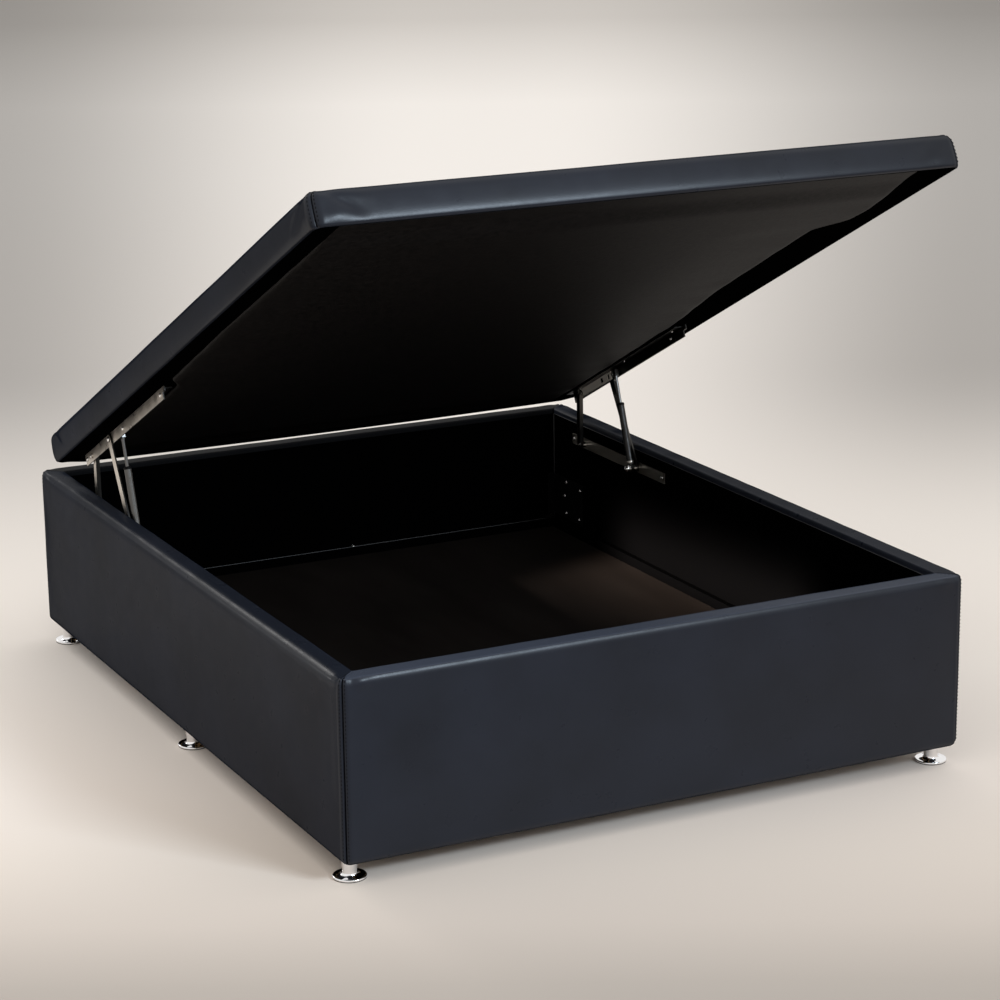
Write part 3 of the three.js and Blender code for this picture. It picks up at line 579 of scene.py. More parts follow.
def waves(x, y, seed, kind):
    """A soft unevenness, of one of the kinds named above."""
    rise, x_rate, y_rate, offset = kind
    return rise * noise.noise(Vector((x * x_rate, y * y_rate, seed + offset)))


def blob(x, y, centre, widths, height):
    """A smooth rise or hollow round a centre."""
    return height * bell(math.hypot((x - centre[0]) / widths[0], (y - centre[1]) / widths[1]), 1.0)


def ridge(point, start, end, height, width):
    """A fold that runs between two points of a panel and dies away at both ends."""
    run = (end[0] - start[0], end[1] - start[1])
    length = math.hypot(*run)
    along = ((point[0] - start[0]) * run[0] + (point[1] - start[1]) * run[1]) / length
    across = ((point[0] - start[0]) * run[1] - (point[1] - start[1]) * run[0]) / length
    share = along / length
    if share <= 0.0 or share >= 1.0:
        return 0.0
    return height * math.sin(math.pi * share) ** 2 * bell(across, width)


# The box's covers

SHOULDER_RISE = math.sin(math.radians(SHOULDER_TURN))
SHOULDER_REACH = math.cos(math.radians(SHOULDER_TURN))
SHOULDER_STEP = SIDE_RADIUS - SHOULDER_RADIUS
SHOULDER_HEIGHT = RIM - SHOULDER_RADIUS
SIDE_CENTRE = (SIDE_RADIUS, SHOULDER_HEIGHT - SHOULDER_STEP * SHOULDER_RISE)
SHOULDER_CENTRE = (SIDE_RADIUS - SHOULDER_STEP * SHOULDER_REACH, SHOULDER_HEIGHT)
INNER_EDGE_CENTRE = (WALL - INNER_EDGE_RADIUS, RIM - INNER_EDGE_RADIUS)
OUTER_PATH = joined(
    [
        [(COVER_HEM, BASE)],
        arc((EDGE_RADIUS, BASE + EDGE_RADIUS), EDGE_RADIUS, 270, 180, ARC_STEPS),
        arc(SIDE_CENTRE, SIDE_RADIUS, 180, 180 - SHOULDER_TURN, ARC_STEPS),
        arc(SHOULDER_CENTRE, SHOULDER_RADIUS, 180 - SHOULDER_TURN, 90, ARC_STEPS),
        arc(INNER_EDGE_CENTRE, INNER_EDGE_RADIUS, 90, 0, 5),
        [(WALL, RIM - RIM_RETURN)],
    ],
    FACE_STEP,
)
OUTER_NORMALS = path_normals(OUTER_PATH)
CAVITY_SIDE = COVER_SKIN + COVER_INNER_RADIUS
CAVITY_HIGH = (CAVITY_SIDE, RIM - COVER_SKIN - COVER_INNER_RADIUS)
CAVITY_LOW = (CAVITY_SIDE, BASE + COVER_BASE + COVER_INNER_RADIUS)
INNER_PATH = [
    (WALL - RIM_RETURN_SKIN, RIM - RIM_RETURN),
    (WALL - RIM_RETURN_SKIN, RIM - COVER_SKIN),
    *arc(CAVITY_HIGH, COVER_INNER_RADIUS, 90, 180, 3),
    *arc(CAVITY_LOW, COVER_INNER_RADIUS, 180, 270, 3),
    (COVER_HEM, BASE + COVER_BASE),
]


def run_stations(span, corner_radius):
    """Places along a wall: half corner, straight run, half corner.
    Each is (kind, value, distance to the nearest seam)."""
    quarter = corner_radius * math.pi / 4
    starts = [("arc", -math.pi / 4 * (1 - share), quarter * share) for share in CORNER_SHARES]
    ends = [("arc", math.pi / 4 * (1 - share), quarter * share) for share in CORNER_SHARES]
    straight = 2 * (span - corner_radius)
    middle = straight - 2 * FINE_RUN
    fine = round(FINE_RUN / FINE_STEP)
    coarse = round(middle / COARSE_STEP)
    places = [index * FINE_STEP for index in range(fine)]
    places += [FINE_RUN + middle * index / coarse for index in range(coarse)]
    places += [straight - FINE_RUN + index * FINE_STEP for index in range(fine + 1)]
    lines = [
        ("line", place / straight, quarter + min(place, straight - place)) for place in places
    ]
    return starts + lines + ends[::-1]


def station_place(station, span, depth, inset, corner_radius):
    """(along, outward) and the plan normal of a station, at an inset from the outside."""
    kind, value, _ = station
    radius = max(corner_radius - inset, SMALLEST_RADIUS)
    centre = inset + radius
    if kind == "line":
        reach = span - centre
        return (-reach + 2 * reach * value, depth - inset), (0.0, 1.0)
    side = -1.0 if value < 0 else 1.0
    turn = abs(value)
    along = side * (span - centre + radius * math.sin(turn))
    outward = depth - centre + radius * math.cos(turn)
    return (along, outward), (side * math.sin(turn), math.cos(turn))


# Each wall: the way along it, the way out, half its length, its distance, its place in the
# noise, and how strongly the leather gathers at its start and its end
WALLS = {
    "foot": (ACROSS, -BACK, HALF_WIDTH, HALF_LENGTH, 3.1, (1.35, 0.6)),
    "right": (BACK, ACROSS, HALF_LENGTH, HALF_WIDTH, 7.7, (0.6, 0.7)),
    "head": (-ACROSS, BACK, HALF_WIDTH, HALF_LENGTH, 13.9, (0.8, 0.5)),
    "left": (-BACK, -ACROSS, HALF_LENGTH, HALF_WIDTH, 21.3, (0.7, 0.4)),
}
TOP_ARC_START = min(
    range(len(OUTER_PATH)),
    key=lambda index: math.dist(OUTER_PATH[index], (0.0, SIDE_CENTRE[1])),
)
PAINTED_SHADE_START = next(
    index for index, point in enumerate(OUTER_PATH) if point[1] >= SHOULDER_HEIGHT
)
travel = [0.0, *itertools.accumulate(map(math.dist, OUTER_PATH, OUTER_PATH[1:]))]
OUTER_TRAVEL = [value - travel[TOP_ARC_START] for value in travel]


def corner_pucker(from_corner, travel, strength):
    """Gathered leather on the top edge beside a corner seam."""
    return strength * sum(blob(from_corner, travel, *gather) for gather in GATHERS)


def wall_relief(along, height, seam, wall, travel):
    """How far the leather stands off the wall's plain form."""
    _, _, span, _, seed, (start, end) = WALLS[wall]
    share = (height - (BASE + RIM) / 2) / ((RIM - BASE) / 2)
    near_top = bell(height - (RIM - TOP_WAVES_DROP), TOP_WAVES_WIDTH)
    relief = seam_relief(seam)
    relief += WALL_BULGE * max(0.0, 1 - share * share) * (1 - bell(seam, BULGE_EDGE))
    relief += waves(along, height, seed, WALL_WAVES)
    relief += math.exp(-seam / CORNER_WAVES_REACH) * waves(along, height, seed, CORNER_WAVES)
    relief += near_top * waves(along, height, seed, TOP_WAVES)
    relief += corner_pucker(span + along, travel, start)
    relief += corner_pucker(span - along, travel, end)
    return relief


def rim_profile(wall, path_index, seam):
    """A place on the outer path and its normal. The left rim is rounder away from its corners."""
    inset, height = OUTER_PATH[path_index]
    normal = OUTER_NORMALS[path_index]
    centre_height = RIM - ROUND_RADIUS
    if wall != "left" or inset >= ROUND_RADIUS or height <= centre_height:
        return inset, height, normal
    share = smooth(seam / ROUND_RUN)
    out, up = ROUND_RADIUS - inset, height - centre_height
    length = math.hypot(out, up)
    round_normal = (out / length, up / length)
    inset += share * (ROUND_RADIUS * (1 - round_normal[0]) - inset)
    height += share * (centre_height + ROUND_RADIUS * round_normal[1] - height)
    out_share = normal[0] + share * (round_normal[0] - normal[0])
    up_share = normal[1] + share * (round_normal[1] - normal[1])
    return inset, height, (out_share, up_share)


def wall_place(wall, station, inset):
    """How far along a wall a station is, its point in plan, and the way out there."""
    along_axis, out_axis, span, depth = WALLS[wall][:4]
    (along, outward), plan = station_place(station, span, depth, inset, CORNER_RADIUS)
    side = 1.0 if along > 0 else -1.0
    gap = SEAM_HALF_GAP * bell(station[2], SEAM_WIDTH)
    point = along_axis * (along - side * gap) + out_axis * outward
    return along, point, along_axis * plan[0] + out_axis * plan[1]


def cover_point(wall, station, path_index):
    inset, height, (out_share, up_share) = rim_profile(wall, path_index, station[2])
    along, point, out = wall_place(wall, station, inset)
    relief = wall_relief(along, height, station[2], wall, OUTER_TRAVEL[path_index])
    if up_share > LOOKS_UP:
        sway = RIM_SWAY + waves(along, WALLS[wall][4], 0.0, RIM_WAVES)
        relief = min(RIM_HIGHEST, relief - sway)
    if up_share < LOOKS_DOWN:
        relief = 0.0
    point += out * out_share * relief
    point.z = height + up_share * relief
    return point


def add_wall_cover(wall):
    stations = run_stations(WALLS[wall][2], CORNER_RADIUS)
    points = []
    for station in stations:
        points += [cover_point(wall, station, path_index) for path_index in range(len(OUTER_PATH))]
        for inset, height in INNER_PATH:
            point = wall_place(wall, station, inset)[1]
            point.z = height
            points.append(point)
    ring = len(OUTER_PATH) + len(INNER_PATH)
    faces = ring_faces(0, len(stations), ring)
    material = foot_leather_painted_light if wall == "foot" else leather
    piece = add_piece(f"{wall}_leather", points, faces, material, "box", SOFT_ANGLE)
    # The head rim's top and inner return get the near-black cloth: painted shade under the lid
    if wall == "head":
        piece.data.materials.append(painted_shade_rim_cloth)
        for column in range(len(stations) - 1):
            for row in range(PAINTED_SHADE_START, len(OUTER_PATH) - 1):
                piece.data.polygons[column * ring + row].material_index = 1
    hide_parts(f"{wall}_cover")


for wall in WALLS:
    add_wall_cover(wall)


# Stitches


def tube_ring(centre, side, lift, radius):
    """The points of a small ring round a centre."""
    turns = [math.tau * step / CORD_SIDES for step in range(CORD_SIDES)]
    return [centre + (side * math.cos(turn) + lift * math.sin(turn)) * radius for turn in turns]


def capsule(points, faces, start, end, up):
    """Adds a small stitch between two points."""
    run = (end - start).normalized()
    side = run.cross(up).normalized()
    faces += ring_faces(len(points), len(STITCH_RINGS), CORD_SIDES)
    for share, width in STITCH_RINGS:
        points += tube_ring(start.lerp(end, share), side, side.cross(run), STITCH_RADIUS * width)


def add_stitches(name, route, ups, body):
    """Stitches along a route at a steady pitch."""
    points, faces = [], []
    travelled = 0.0
    due = STITCH_PITCH
    for index in range(1, len(route)):
        start, end = route[index - 1], route[index]
        length = (end - start).length
        while due <= travelled + length:
            centre = start.lerp(end, (due - travelled) / length)
            half = (end - start).normalized() * STITCH_LENGTH / 2
            capsule(points, faces, centre - half, centre + half, ups[index])
            due += STITCH_PITCH
        travelled += length
    add_piece(name, points, faces, thread, body)


def add_cord(name, route, ups, body):
    """The dark thread of a seam, through a route of points."""
    points = []
    for index, centre in enumerate(route):
        run = (route[min(index + 1, len(route) - 1)] - route[max(index - 1, 0)]).normalized()
        side = run.cross(ups[index]).normalized()
        points += tube_ring(centre, side, side.cross(run), SEAM_CORD_RADIUS)
    faces = ring_faces(0, len(route), CORD_SIDES)
    add_piece(name, points, faces, seam_thread, body)


def box_route(wall, turn, from_seam, lowest, sink=0.0):
    """A route up a corner to the inner edge of the rim, and the ways out of the leather."""
    along_axis, out_axis = WALLS[wall][:2]
    out = along_axis * math.sin(turn) + out_axis * math.cos(turn)
    route, ups = [], []
    for path_index, (inset, height) in enumerate(OUTER_PATH):
        if height < lowest or inset > WALL - INNER_EDGE_RADIUS:
            continue
        out_share, up_share = OUTER_NORMALS[path_index]
        slack = max(0.0, inset - (CORNER_RADIUS - from_seam))
        point = cover_point(wall, ("arc", turn, from_seam), path_index)
        point -= along_axis * math.copysign(min(slack, from_seam), turn)
        point.z -= sink * max(0.0, up_share)
        route.append(point)
        ups.append((out * out_share + UP * up_share).normalized())
    return route, ups


stitch_turn = math.pi / 4 - STITCH_OFFSET / CORNER_RADIUS
for wall, (end_name, sign) in itertools.product(WALLS, SEAM_ENDS):
    lowest = BASE + EDGE_RADIUS / 2
    route, ups = box_route(wall, sign * stitch_turn, STITCH_OFFSET, lowest, STITCH_SINK)
    add_stitches(f"stitches_{wall}_{end_name}", route, ups, "box")
for wall in WALLS:
    route, ups = box_route(wall, -math.pi / 4, 0.0, BASE + EDGE_RADIUS / 3)
    add_cord(f"seam_{wall}_start", route, ups, "box")


# The lid's cover

# As for the walls, with the bulge of each side
LID_SIDES = {
    "foot": ((1, 0), (0, 1), HALF_WIDTH, LID_HALF_LENGTH, 31.7, (1.2, 0.6), 0.0045),
    "right": ((0, -1), (1, 0), LID_HALF_LENGTH, HALF_WIDTH, 37.1, (0.6, 0.6), 0.0045),
    "head": ((-1, 0), (0, -1), HALF_WIDTH, LID_HALF_LENGTH, 41.9, (0.8, 0.5), 0.0004),
    "left": ((0, 1), (-1, 0), LID_HALF_LENGTH, HALF_WIDTH, 47.3, (0.7, 0.5), 0.0065),
}
LID_TOP_CENTRE = (LID_TOP_RADIUS, LID_THICKNESS - LID_TOP_RADIUS)
LID_OUTER_PATH = joined(
    [
        [(LID_HEM, 0.0)],
        arc((LID_BOTTOM_RADIUS, LID_BOTTOM_RADIUS), LID_BOTTOM_RADIUS, 270, 180, 5),
        arc(LID_TOP_CENTRE, LID_TOP_RADIUS, 180, 90, ARC_STEPS),
    ],
    LID_FACE_STEP,
)
LID_OUTER_NORMALS = path_normals(LID_OUTER_PATH)
LID_CAVITY_SIDE = LID_SKIN + LID_INNER_RADIUS
LID_CAVITY_LOW = (LID_CAVITY_SIDE, LID_BASE + LID_INNER_RADIUS)
LID_CAVITY_HIGH = (LID_CAVITY_SIDE, LID_THICKNESS - LID_PADDING - LID_INNER_RADIUS)
LID_INNER_PATH = [
    (LID_HEM, LID_BASE),
    *arc(LID_CAVITY_LOW, LID_INNER_RADIUS, 270, 180, 3),
    *arc(LID_CAVITY_HIGH, LID_INNER_RADIUS, 180, 90, 3),
]


def lid_pucker(from_corner, height, strength):
    """Folds in the lid's side beside a corner seam."""
    relief = blob(from_corner, height, *LID_GATHER)
    for fold in LID_FOLDS:
        relief += ridge((from_corner, height), *fold)
    return strength * relief


def lid_relief(side, along, height, seam):
    _, _, span, _, seed, (start, end), bulge = LID_SIDES[side]
    share = max(0.0, min(1.0, height / LID_THICKNESS))
    relief = seam_relief(seam)
    relief += bulge * (1 - math.exp(-height / LID_SWELL)) * (1 - share**4)
    relief += waves(along, height, seed, LID_WAVES)
    near_seam = math.exp(-seam / LID_CORNER_WAVES_REACH)
    relief += near_seam * waves(along, height, seed, LID_CORNER_WAVES)
    relief += lid_pucker(span + along, height, start)
    relief += lid_pucker(span - along, height, end)
    return relief


def lip_droop(side, along, inset, height):
    """The lid's lower head edge hangs a little in the middle of its span."""
    if side != "head" or inset >= LIP_REACH:
        return 0.0
    middle = max(0.0, 1 - (along / LIP_SPAN) ** 2)
    corner = smooth((HALF_WIDTH - LID_CORNER_RADIUS - abs(along)) / LIP_CORNER)
    across = (LIP_EVEN + (1 - LIP_EVEN) * middle) * corner
    inward = min(1.0, (LIP_REACH - inset) / (LIP_REACH - LIP_INNER))
    upward = max(0.0, 1 - max(0.0, height - LID_BOTTOM_RADIUS) / LIP_HEIGHT)
    return LIP_DROOP * across * inward**LIP_INWARD_POWER * upward**LIP_UPWARD_POWER


def lid_station_point(side, station, inset, height, normal=None):
    """A point of the lid's skin in its own plan. With a normal it gets the leather's relief."""
    along_axis, out_axis, span, depth = LID_SIDES[side][:4]
    (along, outward), plan = station_place(station, span, depth, inset, LID_CORNER_RADIUS)
    push = 0.0
    if normal:
        out_share, up_share = normal
        relief = lid_relief(side, along, height, station[2])
        if up_share < LID_LOOKS_DOWN:
            relief = 0.0
        push = out_share * relief
        height += up_share * relief - lip_droop(side, along, inset, height)
    x, y = (
        a * along + b * outward + (a * plan[0] + b * plan[1]) * push
        for a, b in zip(along_axis, out_axis)
    )
    return x, y, height


def lid_ring(inset, height, normal=None):
    ring = []
    for side in LID_SIDES:
        for station in run_stations(LID_SIDES[side][2], LID_CORNER_RADIUS)[:-1]:
            ring.append(lid_station_point(side, station, inset, height, normal))
    return ring


def crown(x, y):
    """The foam's rise above the lid's edge."""
    across = min(1.0, (HALF_WIDTH - abs(x)) / CROWN_REACH)
    along = min(1.0, (LID_HALF_LENGTH - abs(y)) / CROWN_REACH)
    rise = math.sin(across * math.pi / 2) * math.sin(along * math.pi / 2)
    return rise * (LID_CROWN + waves(x, y, 0.0, CROWN_WAVES))


def add_lid_cover():
    rings = [lid_ring(*place) for place in reversed(LID_INNER_PATH)]
    inner = len(rings)
    for (inset, height), normal in zip(LID_OUTER_PATH, LID_OUTER_NORMALS):
        rings.append(lid_ring(inset, height, normal))
    widest = HALF_WIDTH - SMALLEST_RADIUS * 2
    for step in range(1, LID_TOP_RINGS + 1):
        share = (step / LID_TOP_RINGS) ** LID_RING_POWER
        ring = lid_ring(LID_TOP_RADIUS + (widest - LID_TOP_RADIUS) * share, LID_THICKNESS)
        rings.append([(x, y, z + crown(x, y)) for x, y, z in ring])
    count = len(rings[0])
    points = [lid_point(x, y + LID_HALF_LENGTH, z) for ring in rings for x, y, z in ring]
    faces = ring_faces(0, len(rings), count, flipped=True)
    piece = add_piece("lid_leather", points, faces, leather, "lid", SOFT_ANGLE)
    # The leather's hem under the lid is given the black lining: painted shade for the hem in the
    # lid's shade
    piece.data.materials.append(lining)
    painted_shade_hem = sum(1 for inset, height in LID_OUTER_PATH if height < LID_BASE / 10)
    for polygon in piece.data.polygons[(inner - 1) * count : (inner - 1 + painted_shade_hem) * count]:
        polygon.material_index = 1
    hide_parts("lid_cover")


add_lid_cover()


def lid_route(side, turn, from_seam, widest, lowest):
    """A route up a corner of the lid's side, and the ways out of the leather along it."""
    along_axis, out_axis = LID_SIDES[side][:2]
    plan = [a * math.sin(turn) + b * math.cos(turn) for a, b in zip(along_axis, out_axis)]
    out = ACROSS * plan[0] + LID_ALONG * plan[1]
    route, ups = [], []
    for (inset, height), normal in zip(LID_OUTER_PATH, LID_OUTER_NORMALS):
        if inset <= widest and height >= lowest:
            x, y, z = lid_station_point(side, ("arc", turn, from_seam), inset, height, normal)
            route.append(lid_point(x, y + LID_HALF_LENGTH, z))
            ups.append((out * normal[0] + LID_UP * normal[1]).normalized())
    return route, ups


stitch_turn = math.pi / 4 - STITCH_OFFSET / LID_CORNER_RADIUS
for side, (end_name, sign) in itertools.product(LID_SIDES, SEAM_ENDS):
    widest = LID_TOP_RADIUS * LID_STITCH_END
    route, ups = lid_route(side, sign * stitch_turn, STITCH_OFFSET, widest, LID_BOTTOM_RADIUS)
    add_stitches(f"lid_stitches_{side}_{end_name}", route, ups, "lid")
for side in LID_SIDES:
    route, ups = lid_route(side, -math.pi / 4, 0.0, LID_TOP_RADIUS, LID_BOTTOM_RADIUS / 2)
    add_cord(f"lid_seam_{side}", route, ups, "lid")


# The dust cover


def edge_at(edge, along):
    """The place of a hand-cut edge, smoothed between its points."""
    for before, after in zip(edge, edge[1:]):
        if along <= after[0]:
            share = smooth((along - before[0]) / (after[0] - before[0]))
            return before[1] + (after[1] - before[1]) * share
    return edge[-1][1]


def dust_depth(x, along, side):
    """How far the cloth hangs below the lining at a distance from its nearer side."""
    ends = min(along, LID_LENGTH - along)
    side = max(0.0, side)
    clear = smooth((ends - DUST_FLAT_END) / DUST_FALL)
    roll = math.sqrt(max(0.0, 1 - (1 - min(1.0, side / DUST_ROLL_WIDTH)) ** 2))
    ripple = waves(x, along, 0.0, DUST_RIPPLE) * math.exp(-side / DUST_RIPPLE_REACH)
    depth = DUST_ROLL * roll + DUST_SAG * smooth(side / DUST_SAG_WIDTH)
    return clear * (depth + roll * (ripple + waves(x, along, 0.0, DUST_WAVES)))


def add_dust_cover():
    start, end = DUST_RIGHT_EDGE[0][0], DUST_RIGHT_EDGE[-1][0]
    rows = round((end - start) / DUST_STEP)
    low, high = [], []
    for row in range(rows + 1):
        along = start + (end - start) * row / rows
        sway = waves(along, DUST_EDGE_SEED, 0.0, DUST_EDGE_WAVES)
        left = edge_at(DUST_LEFT_EDGE, along) + sway
        right = edge_at(DUST_RIGHT_EDGE, along) - sway
        for column in range(DUST_COLUMNS + 1):
            share = 0.5 - 0.5 * math.cos(math.pi * column / DUST_COLUMNS)
            x = -left + (left + right) * share
            depth = DUST_GAP + dust_depth(x, along, min(x + left, right - x))
            high.append(lid_point(x, along, -depth))
            low.append(lid_point(x, along, -depth - DUST_THICKNESS))
    width = DUST_COLUMNS + 1
    count = len(low)
    faces = []
    for row in range(rows):
        for column in range(DUST_COLUMNS):
            a = row * width + column
            b, c, d = a + 1, a + 1 + width, a + width
            faces.append((a, b, c, d))
            faces.append((d + count, c + count, b + count, a + count))
    border = list(range(width))
    border += [row * width + DUST_COLUMNS for row in range(1, rows + 1)]
    border += [rows * width + column for column in reversed(range(DUST_COLUMNS))]
    border += [row * width for row in reversed(range(1, rows))]
    for a, b in zip(border, border[1:] + border[:1]):
        faces.append((b, a, a + count, b + count))
    piece = add_piece("lid_dust_cover", low + high, faces, dust_cloth, "lid")


add_dust_cover()


# Turned pieces


def turned(name, profile, place, axis, material, body, sides=32):
    """A solid of revolution: its profile is (radius, distance along the axis)."""
    turn = UP.rotation_difference(Vector(axis)).to_matrix()
    points, faces, rings = [], [], []
    for radius, distance in profile:
        count = sides if radius else 1
        rings.append(range(len(points), len(points) + count))
        for step in range(count):
            angle = math.tau * step / sides
            local = Vector((radius * math.cos(angle), radius * math.sin(angle), distance))
            points.append(Vector(place) + turn @ local)
    for lower, upper in zip(rings, rings[1:]):
        for step in range(sides):
            following = (step + 1) % sides
            if len(lower) == 1:
                faces.append((lower[0], upper[following], upper[step]))
            elif len(upper) == 1:
                faces.append((lower[step], lower[following], upper[0]))
            else:
                faces.append((lower[step], lower[following], upper[following], upper[step]))
    return add_piece(name, points, faces, material, body, SOFT_ANGLE)


GLIDE_SIDES = 64
SCREW_SIDES = 20
BEAD_SIDES = 8
BEAD_SHARES = [(0.0, 0.0), (0.7, 0.3), (1.0, 1.0)]
# Rings of a drilled hole: (share of its radius, height)
HOLE_RINGS = [(0.0, 0.0), (1.2, 0.0), (1.0, 0.0003), (0.9, 0.0001), (0.0, 0.0001)]
BLOCK_ANGLE = 30.0
GLIDE_PROFILE = [
    (0.0, 0.0012),
    (0.0340, 0.0012),
    (0.0354, 0.0018),
    (0.0360, 0.0034),
    (0.0356, 0.0054),
    (0.0344, 0.0064),
    (0.0328, 0.0062),
    (0.0316, 0.0054),
    (0.0300, 0.0050),
    (0.0240, 0.0058),
    (0.0190, 0.0074),
    (0.0168, 0.0094),
    (0.0158, 0.0125),
    (0.0156, 0.0180),
    (0.0162, 0.0260),
    (0.0172, 0.0350),
    (0.0178, 0.0400),
    (0.0178, 0.0447),
    (0.0, 0.0447),
]
PAD_PROFILE = [(0.0, 0.0), (0.0342, 0.0), (0.0350, 0.0004), (0.0350, 0.0009), (0.0, 0.0009)]


def add_glide(node):
    low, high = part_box(node)
    place = ((low[0] + high[0]) / 2, (low[1] + high[1]) / 2, low[2])
    glide = turned(f"{node}_chrome", GLIDE_PROFILE, place, UP, chrome, "box", GLIDE_SIDES)
    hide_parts(node)
    turned(f"{node}_pad", PAD_PROFILE, place, UP, black_paint, "box", GLIDE_SIDES)


for part in record["subparts"]:
    if part["node"].startswith("glide_"):
        add_glide(part["node"])

# Shares of a round-headed screw's radius: (radius, height), with a driver recess
SCREW_SHARES = [
    (0.0, 0.0),
    (1.0, 0.0),
    (1.0, 0.18),
    (0.86, 0.42),
    (0.55, 0.56),
    (0.36, 0.58),
    (0.28, 0.26),
    (0.0, 0.22),
]


def screw(name, place, axis, radius, body):
    profile = [(radius * across, radius * up) for across, up in SCREW_SHARES]
    turned(name, profile, place, axis, bright_steel, body, SCREW_SIDES)


def hole(name, place, axis, radius, body):
    """A black disc with a faint burr round it: painted shade for the dark mouth of a drilled hole.
    """
    profile = [(radius * share, rise) for share, rise in HOLE_RINGS]
    turned(name, profile, place, axis, black_paint, body, SCREW_SIDES)


def bead(name, start, end, radius, material):
    """A thin round bead with closed, tapered ends."""
    run = Vector(end) - Vector(start)
    taper = [(radius * across, radius * up) for across, up in BEAD_SHARES]
    profile = taper + [(width, run.length - rise) for width, rise in reversed(taper)]
    turned(name, profile, start, run.normalized(), material, "box", BEAD_SIDES)


def add_blocks(name, blocks, material, body):
    """Joins blocks with chamfered ends: each is (centre, three axes, three half sizes, chamfer)."""
    points, faces = [], []
    for centre, axes, (a, b, c), chamfer in blocks:
        faces += ring_faces(len(points), 4, 8)
        half = [(a - chamfer, b), (-a + chamfer, b), (-a, b - chamfer), (-a, -b + chamfer)]
        outline = half + [(-x, -y) for x, y in half]
        for level, shrink in ((-c, chamfer), (-c + chamfer, 0.0), (c - chamfer, 0.0), (c, chamfer)):
            for x, y in outline:
                x -= math.copysign(min(shrink, abs(x)), x)
                y -= math.copysign(min(shrink, abs(y)), y)
                points.append(centre + axes[0] * x + axes[1] * y + axes[2] * level)
    add_piece(name, points, faces, material, body, BLOCK_ANGLE)


# Fittings of the lift mechanism

PLATE_SCREW_RADIUS = 0.0050
PLATE_SCREW_SETBACK = 0.012
SMALL_SCREW_RADIUS = 0.0034
SMALL_SCREW_SHARE = 0.37
SMALL_SCREW_RISE = 0.002
PLATE_HOLE_SETBACK = 0.046
RAIL_SCREW_RADIUS = 0.0052
RAIL_SCREW_PLACES = (0.076, 0.108, 0.385, 0.692)
RAIL_INNER_SCREW_PLACES = (0.64, 0.30)
FLANGE_SCREW_PLACES = (0.13, 0.40, 0.675)
FLANGE_SCREW_INSET = 0.011
FLANGE_DEPTH = 0.0021
RAIL_DEPTH = 0.014
RAIL_WEB = 0.003
RIVET_RADIUS = 0.0062
RIVET_SINK = 0.0009
LINK_END = 0.0115
NUT_SIDES = 24
NUT_RADIUS = 0.0078
NUT_PROFILE = [
    (0.0, 0.0),
    (NUT_RADIUS, 0.0),
    (NUT_RADIUS, 0.0035),
    (NUT_RADIUS * 0.86, 0.0068),
    (NUT_RADIUS * 0.55, 0.0094),
    (NUT_RADIUS * 0.22, 0.0106),
    (0.0, 0.0108),
]
WINDOW_ALONG = 0.243
WINDOW_DEPTH = 0.0135
WINDOW_SINK = 0.0003
WINDOW_HALVES = (0.0052, 0.0058, 0.0006)
WINDOW_CHAMFER = 0.0003
EYE_REACH = 0.008
COLLAR_DROP = 0.0105
COLLAR_BORE = 0.0045
# The strut's fork: (how far below its eye, how far beside it, half sizes, chamfer)
FORK = [
    (0.0125, 0.0, (0.0092, 0.0045, 0.0018), 0.0006),
    (0.0050, 0.0080, (0.0012, 0.0045, 0.0085), 0.0004),
    (0.0050, -0.0080, (0.0012, 0.0045, 0.0085), 0.0004),
]
# The strut's ends: (distance from the tube's radius, distance along the axis)
COLLAR_SKIN = [(0.0002, 0.0), (0.0006, 0.0008), (0.0006, 0.0052), (-0.0012, 0.0066)]
END_CAP_SKIN = [(0.0003, 0.0030), (0.0003, 0.0085), (-0.0004, 0.0092)]
END_CAP_START = 0.0112
# The strut's ends: (radius, distance along the axis)
COLLAR_MOUTH = [(0.0050, 0.0074), (COLLAR_BORE, 0.0060), (COLLAR_BORE, 0.0)]
END_CAP_FOOT = [(0.0050, 0.0), (0.0072, 0.0)]
END_CAP_TOP = (0.0050, 0.0092)


def near_and_far(node):
    """The faces of a piece nearest to the bed's middle and farthest from it."""
    low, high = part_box(node)
    return sorted((abs(low[0]), abs(high[0])))


def bolt_centre(name, x):
    low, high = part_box(f"front_bolt_{name}")
    return Vector((x, (low[1] + high[1]) / 2, (low[2] + high[2]) / 2))


def add_plate_fittings(name, side):
    inward = ACROSS * -side
    low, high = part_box(f"base_plate_{name}")
    face = side * near_and_far(f"base_plate_{name}")[0]
    middle = (low[2] + high[2]) / 2
    length = high[1] - low[1]
    screws = [
        (low[1] + PLATE_SCREW_SETBACK, middle, PLATE_SCREW_RADIUS),
        (high[1] - PLATE_SCREW_SETBACK, middle, PLATE_SCREW_RADIUS),
        (low[1] + length * SMALL_SCREW_SHARE, middle + SMALL_SCREW_RISE, SMALL_SCREW_RADIUS),
    ]
    for count, (y, z, radius) in enumerate(screws, 1):
        screw(f"plate_screw_{name}_{count}", (face, y, z), inward, radius, "box")
    drilled = (face, high[1] - PLATE_HOLE_SETBACK, middle)
    hole(f"plate_hole_{name}", drilled, inward, SMALL_SCREW_RADIUS, "box")
    bolt_end = bolt_centre(name, side * near_and_far(f"front_bolt_{name}")[0])
    nut_name = f"cap_nut_{name}"
    turned(nut_name, NUT_PROFILE, bolt_end, inward, bright_steel, "box", NUT_SIDES)


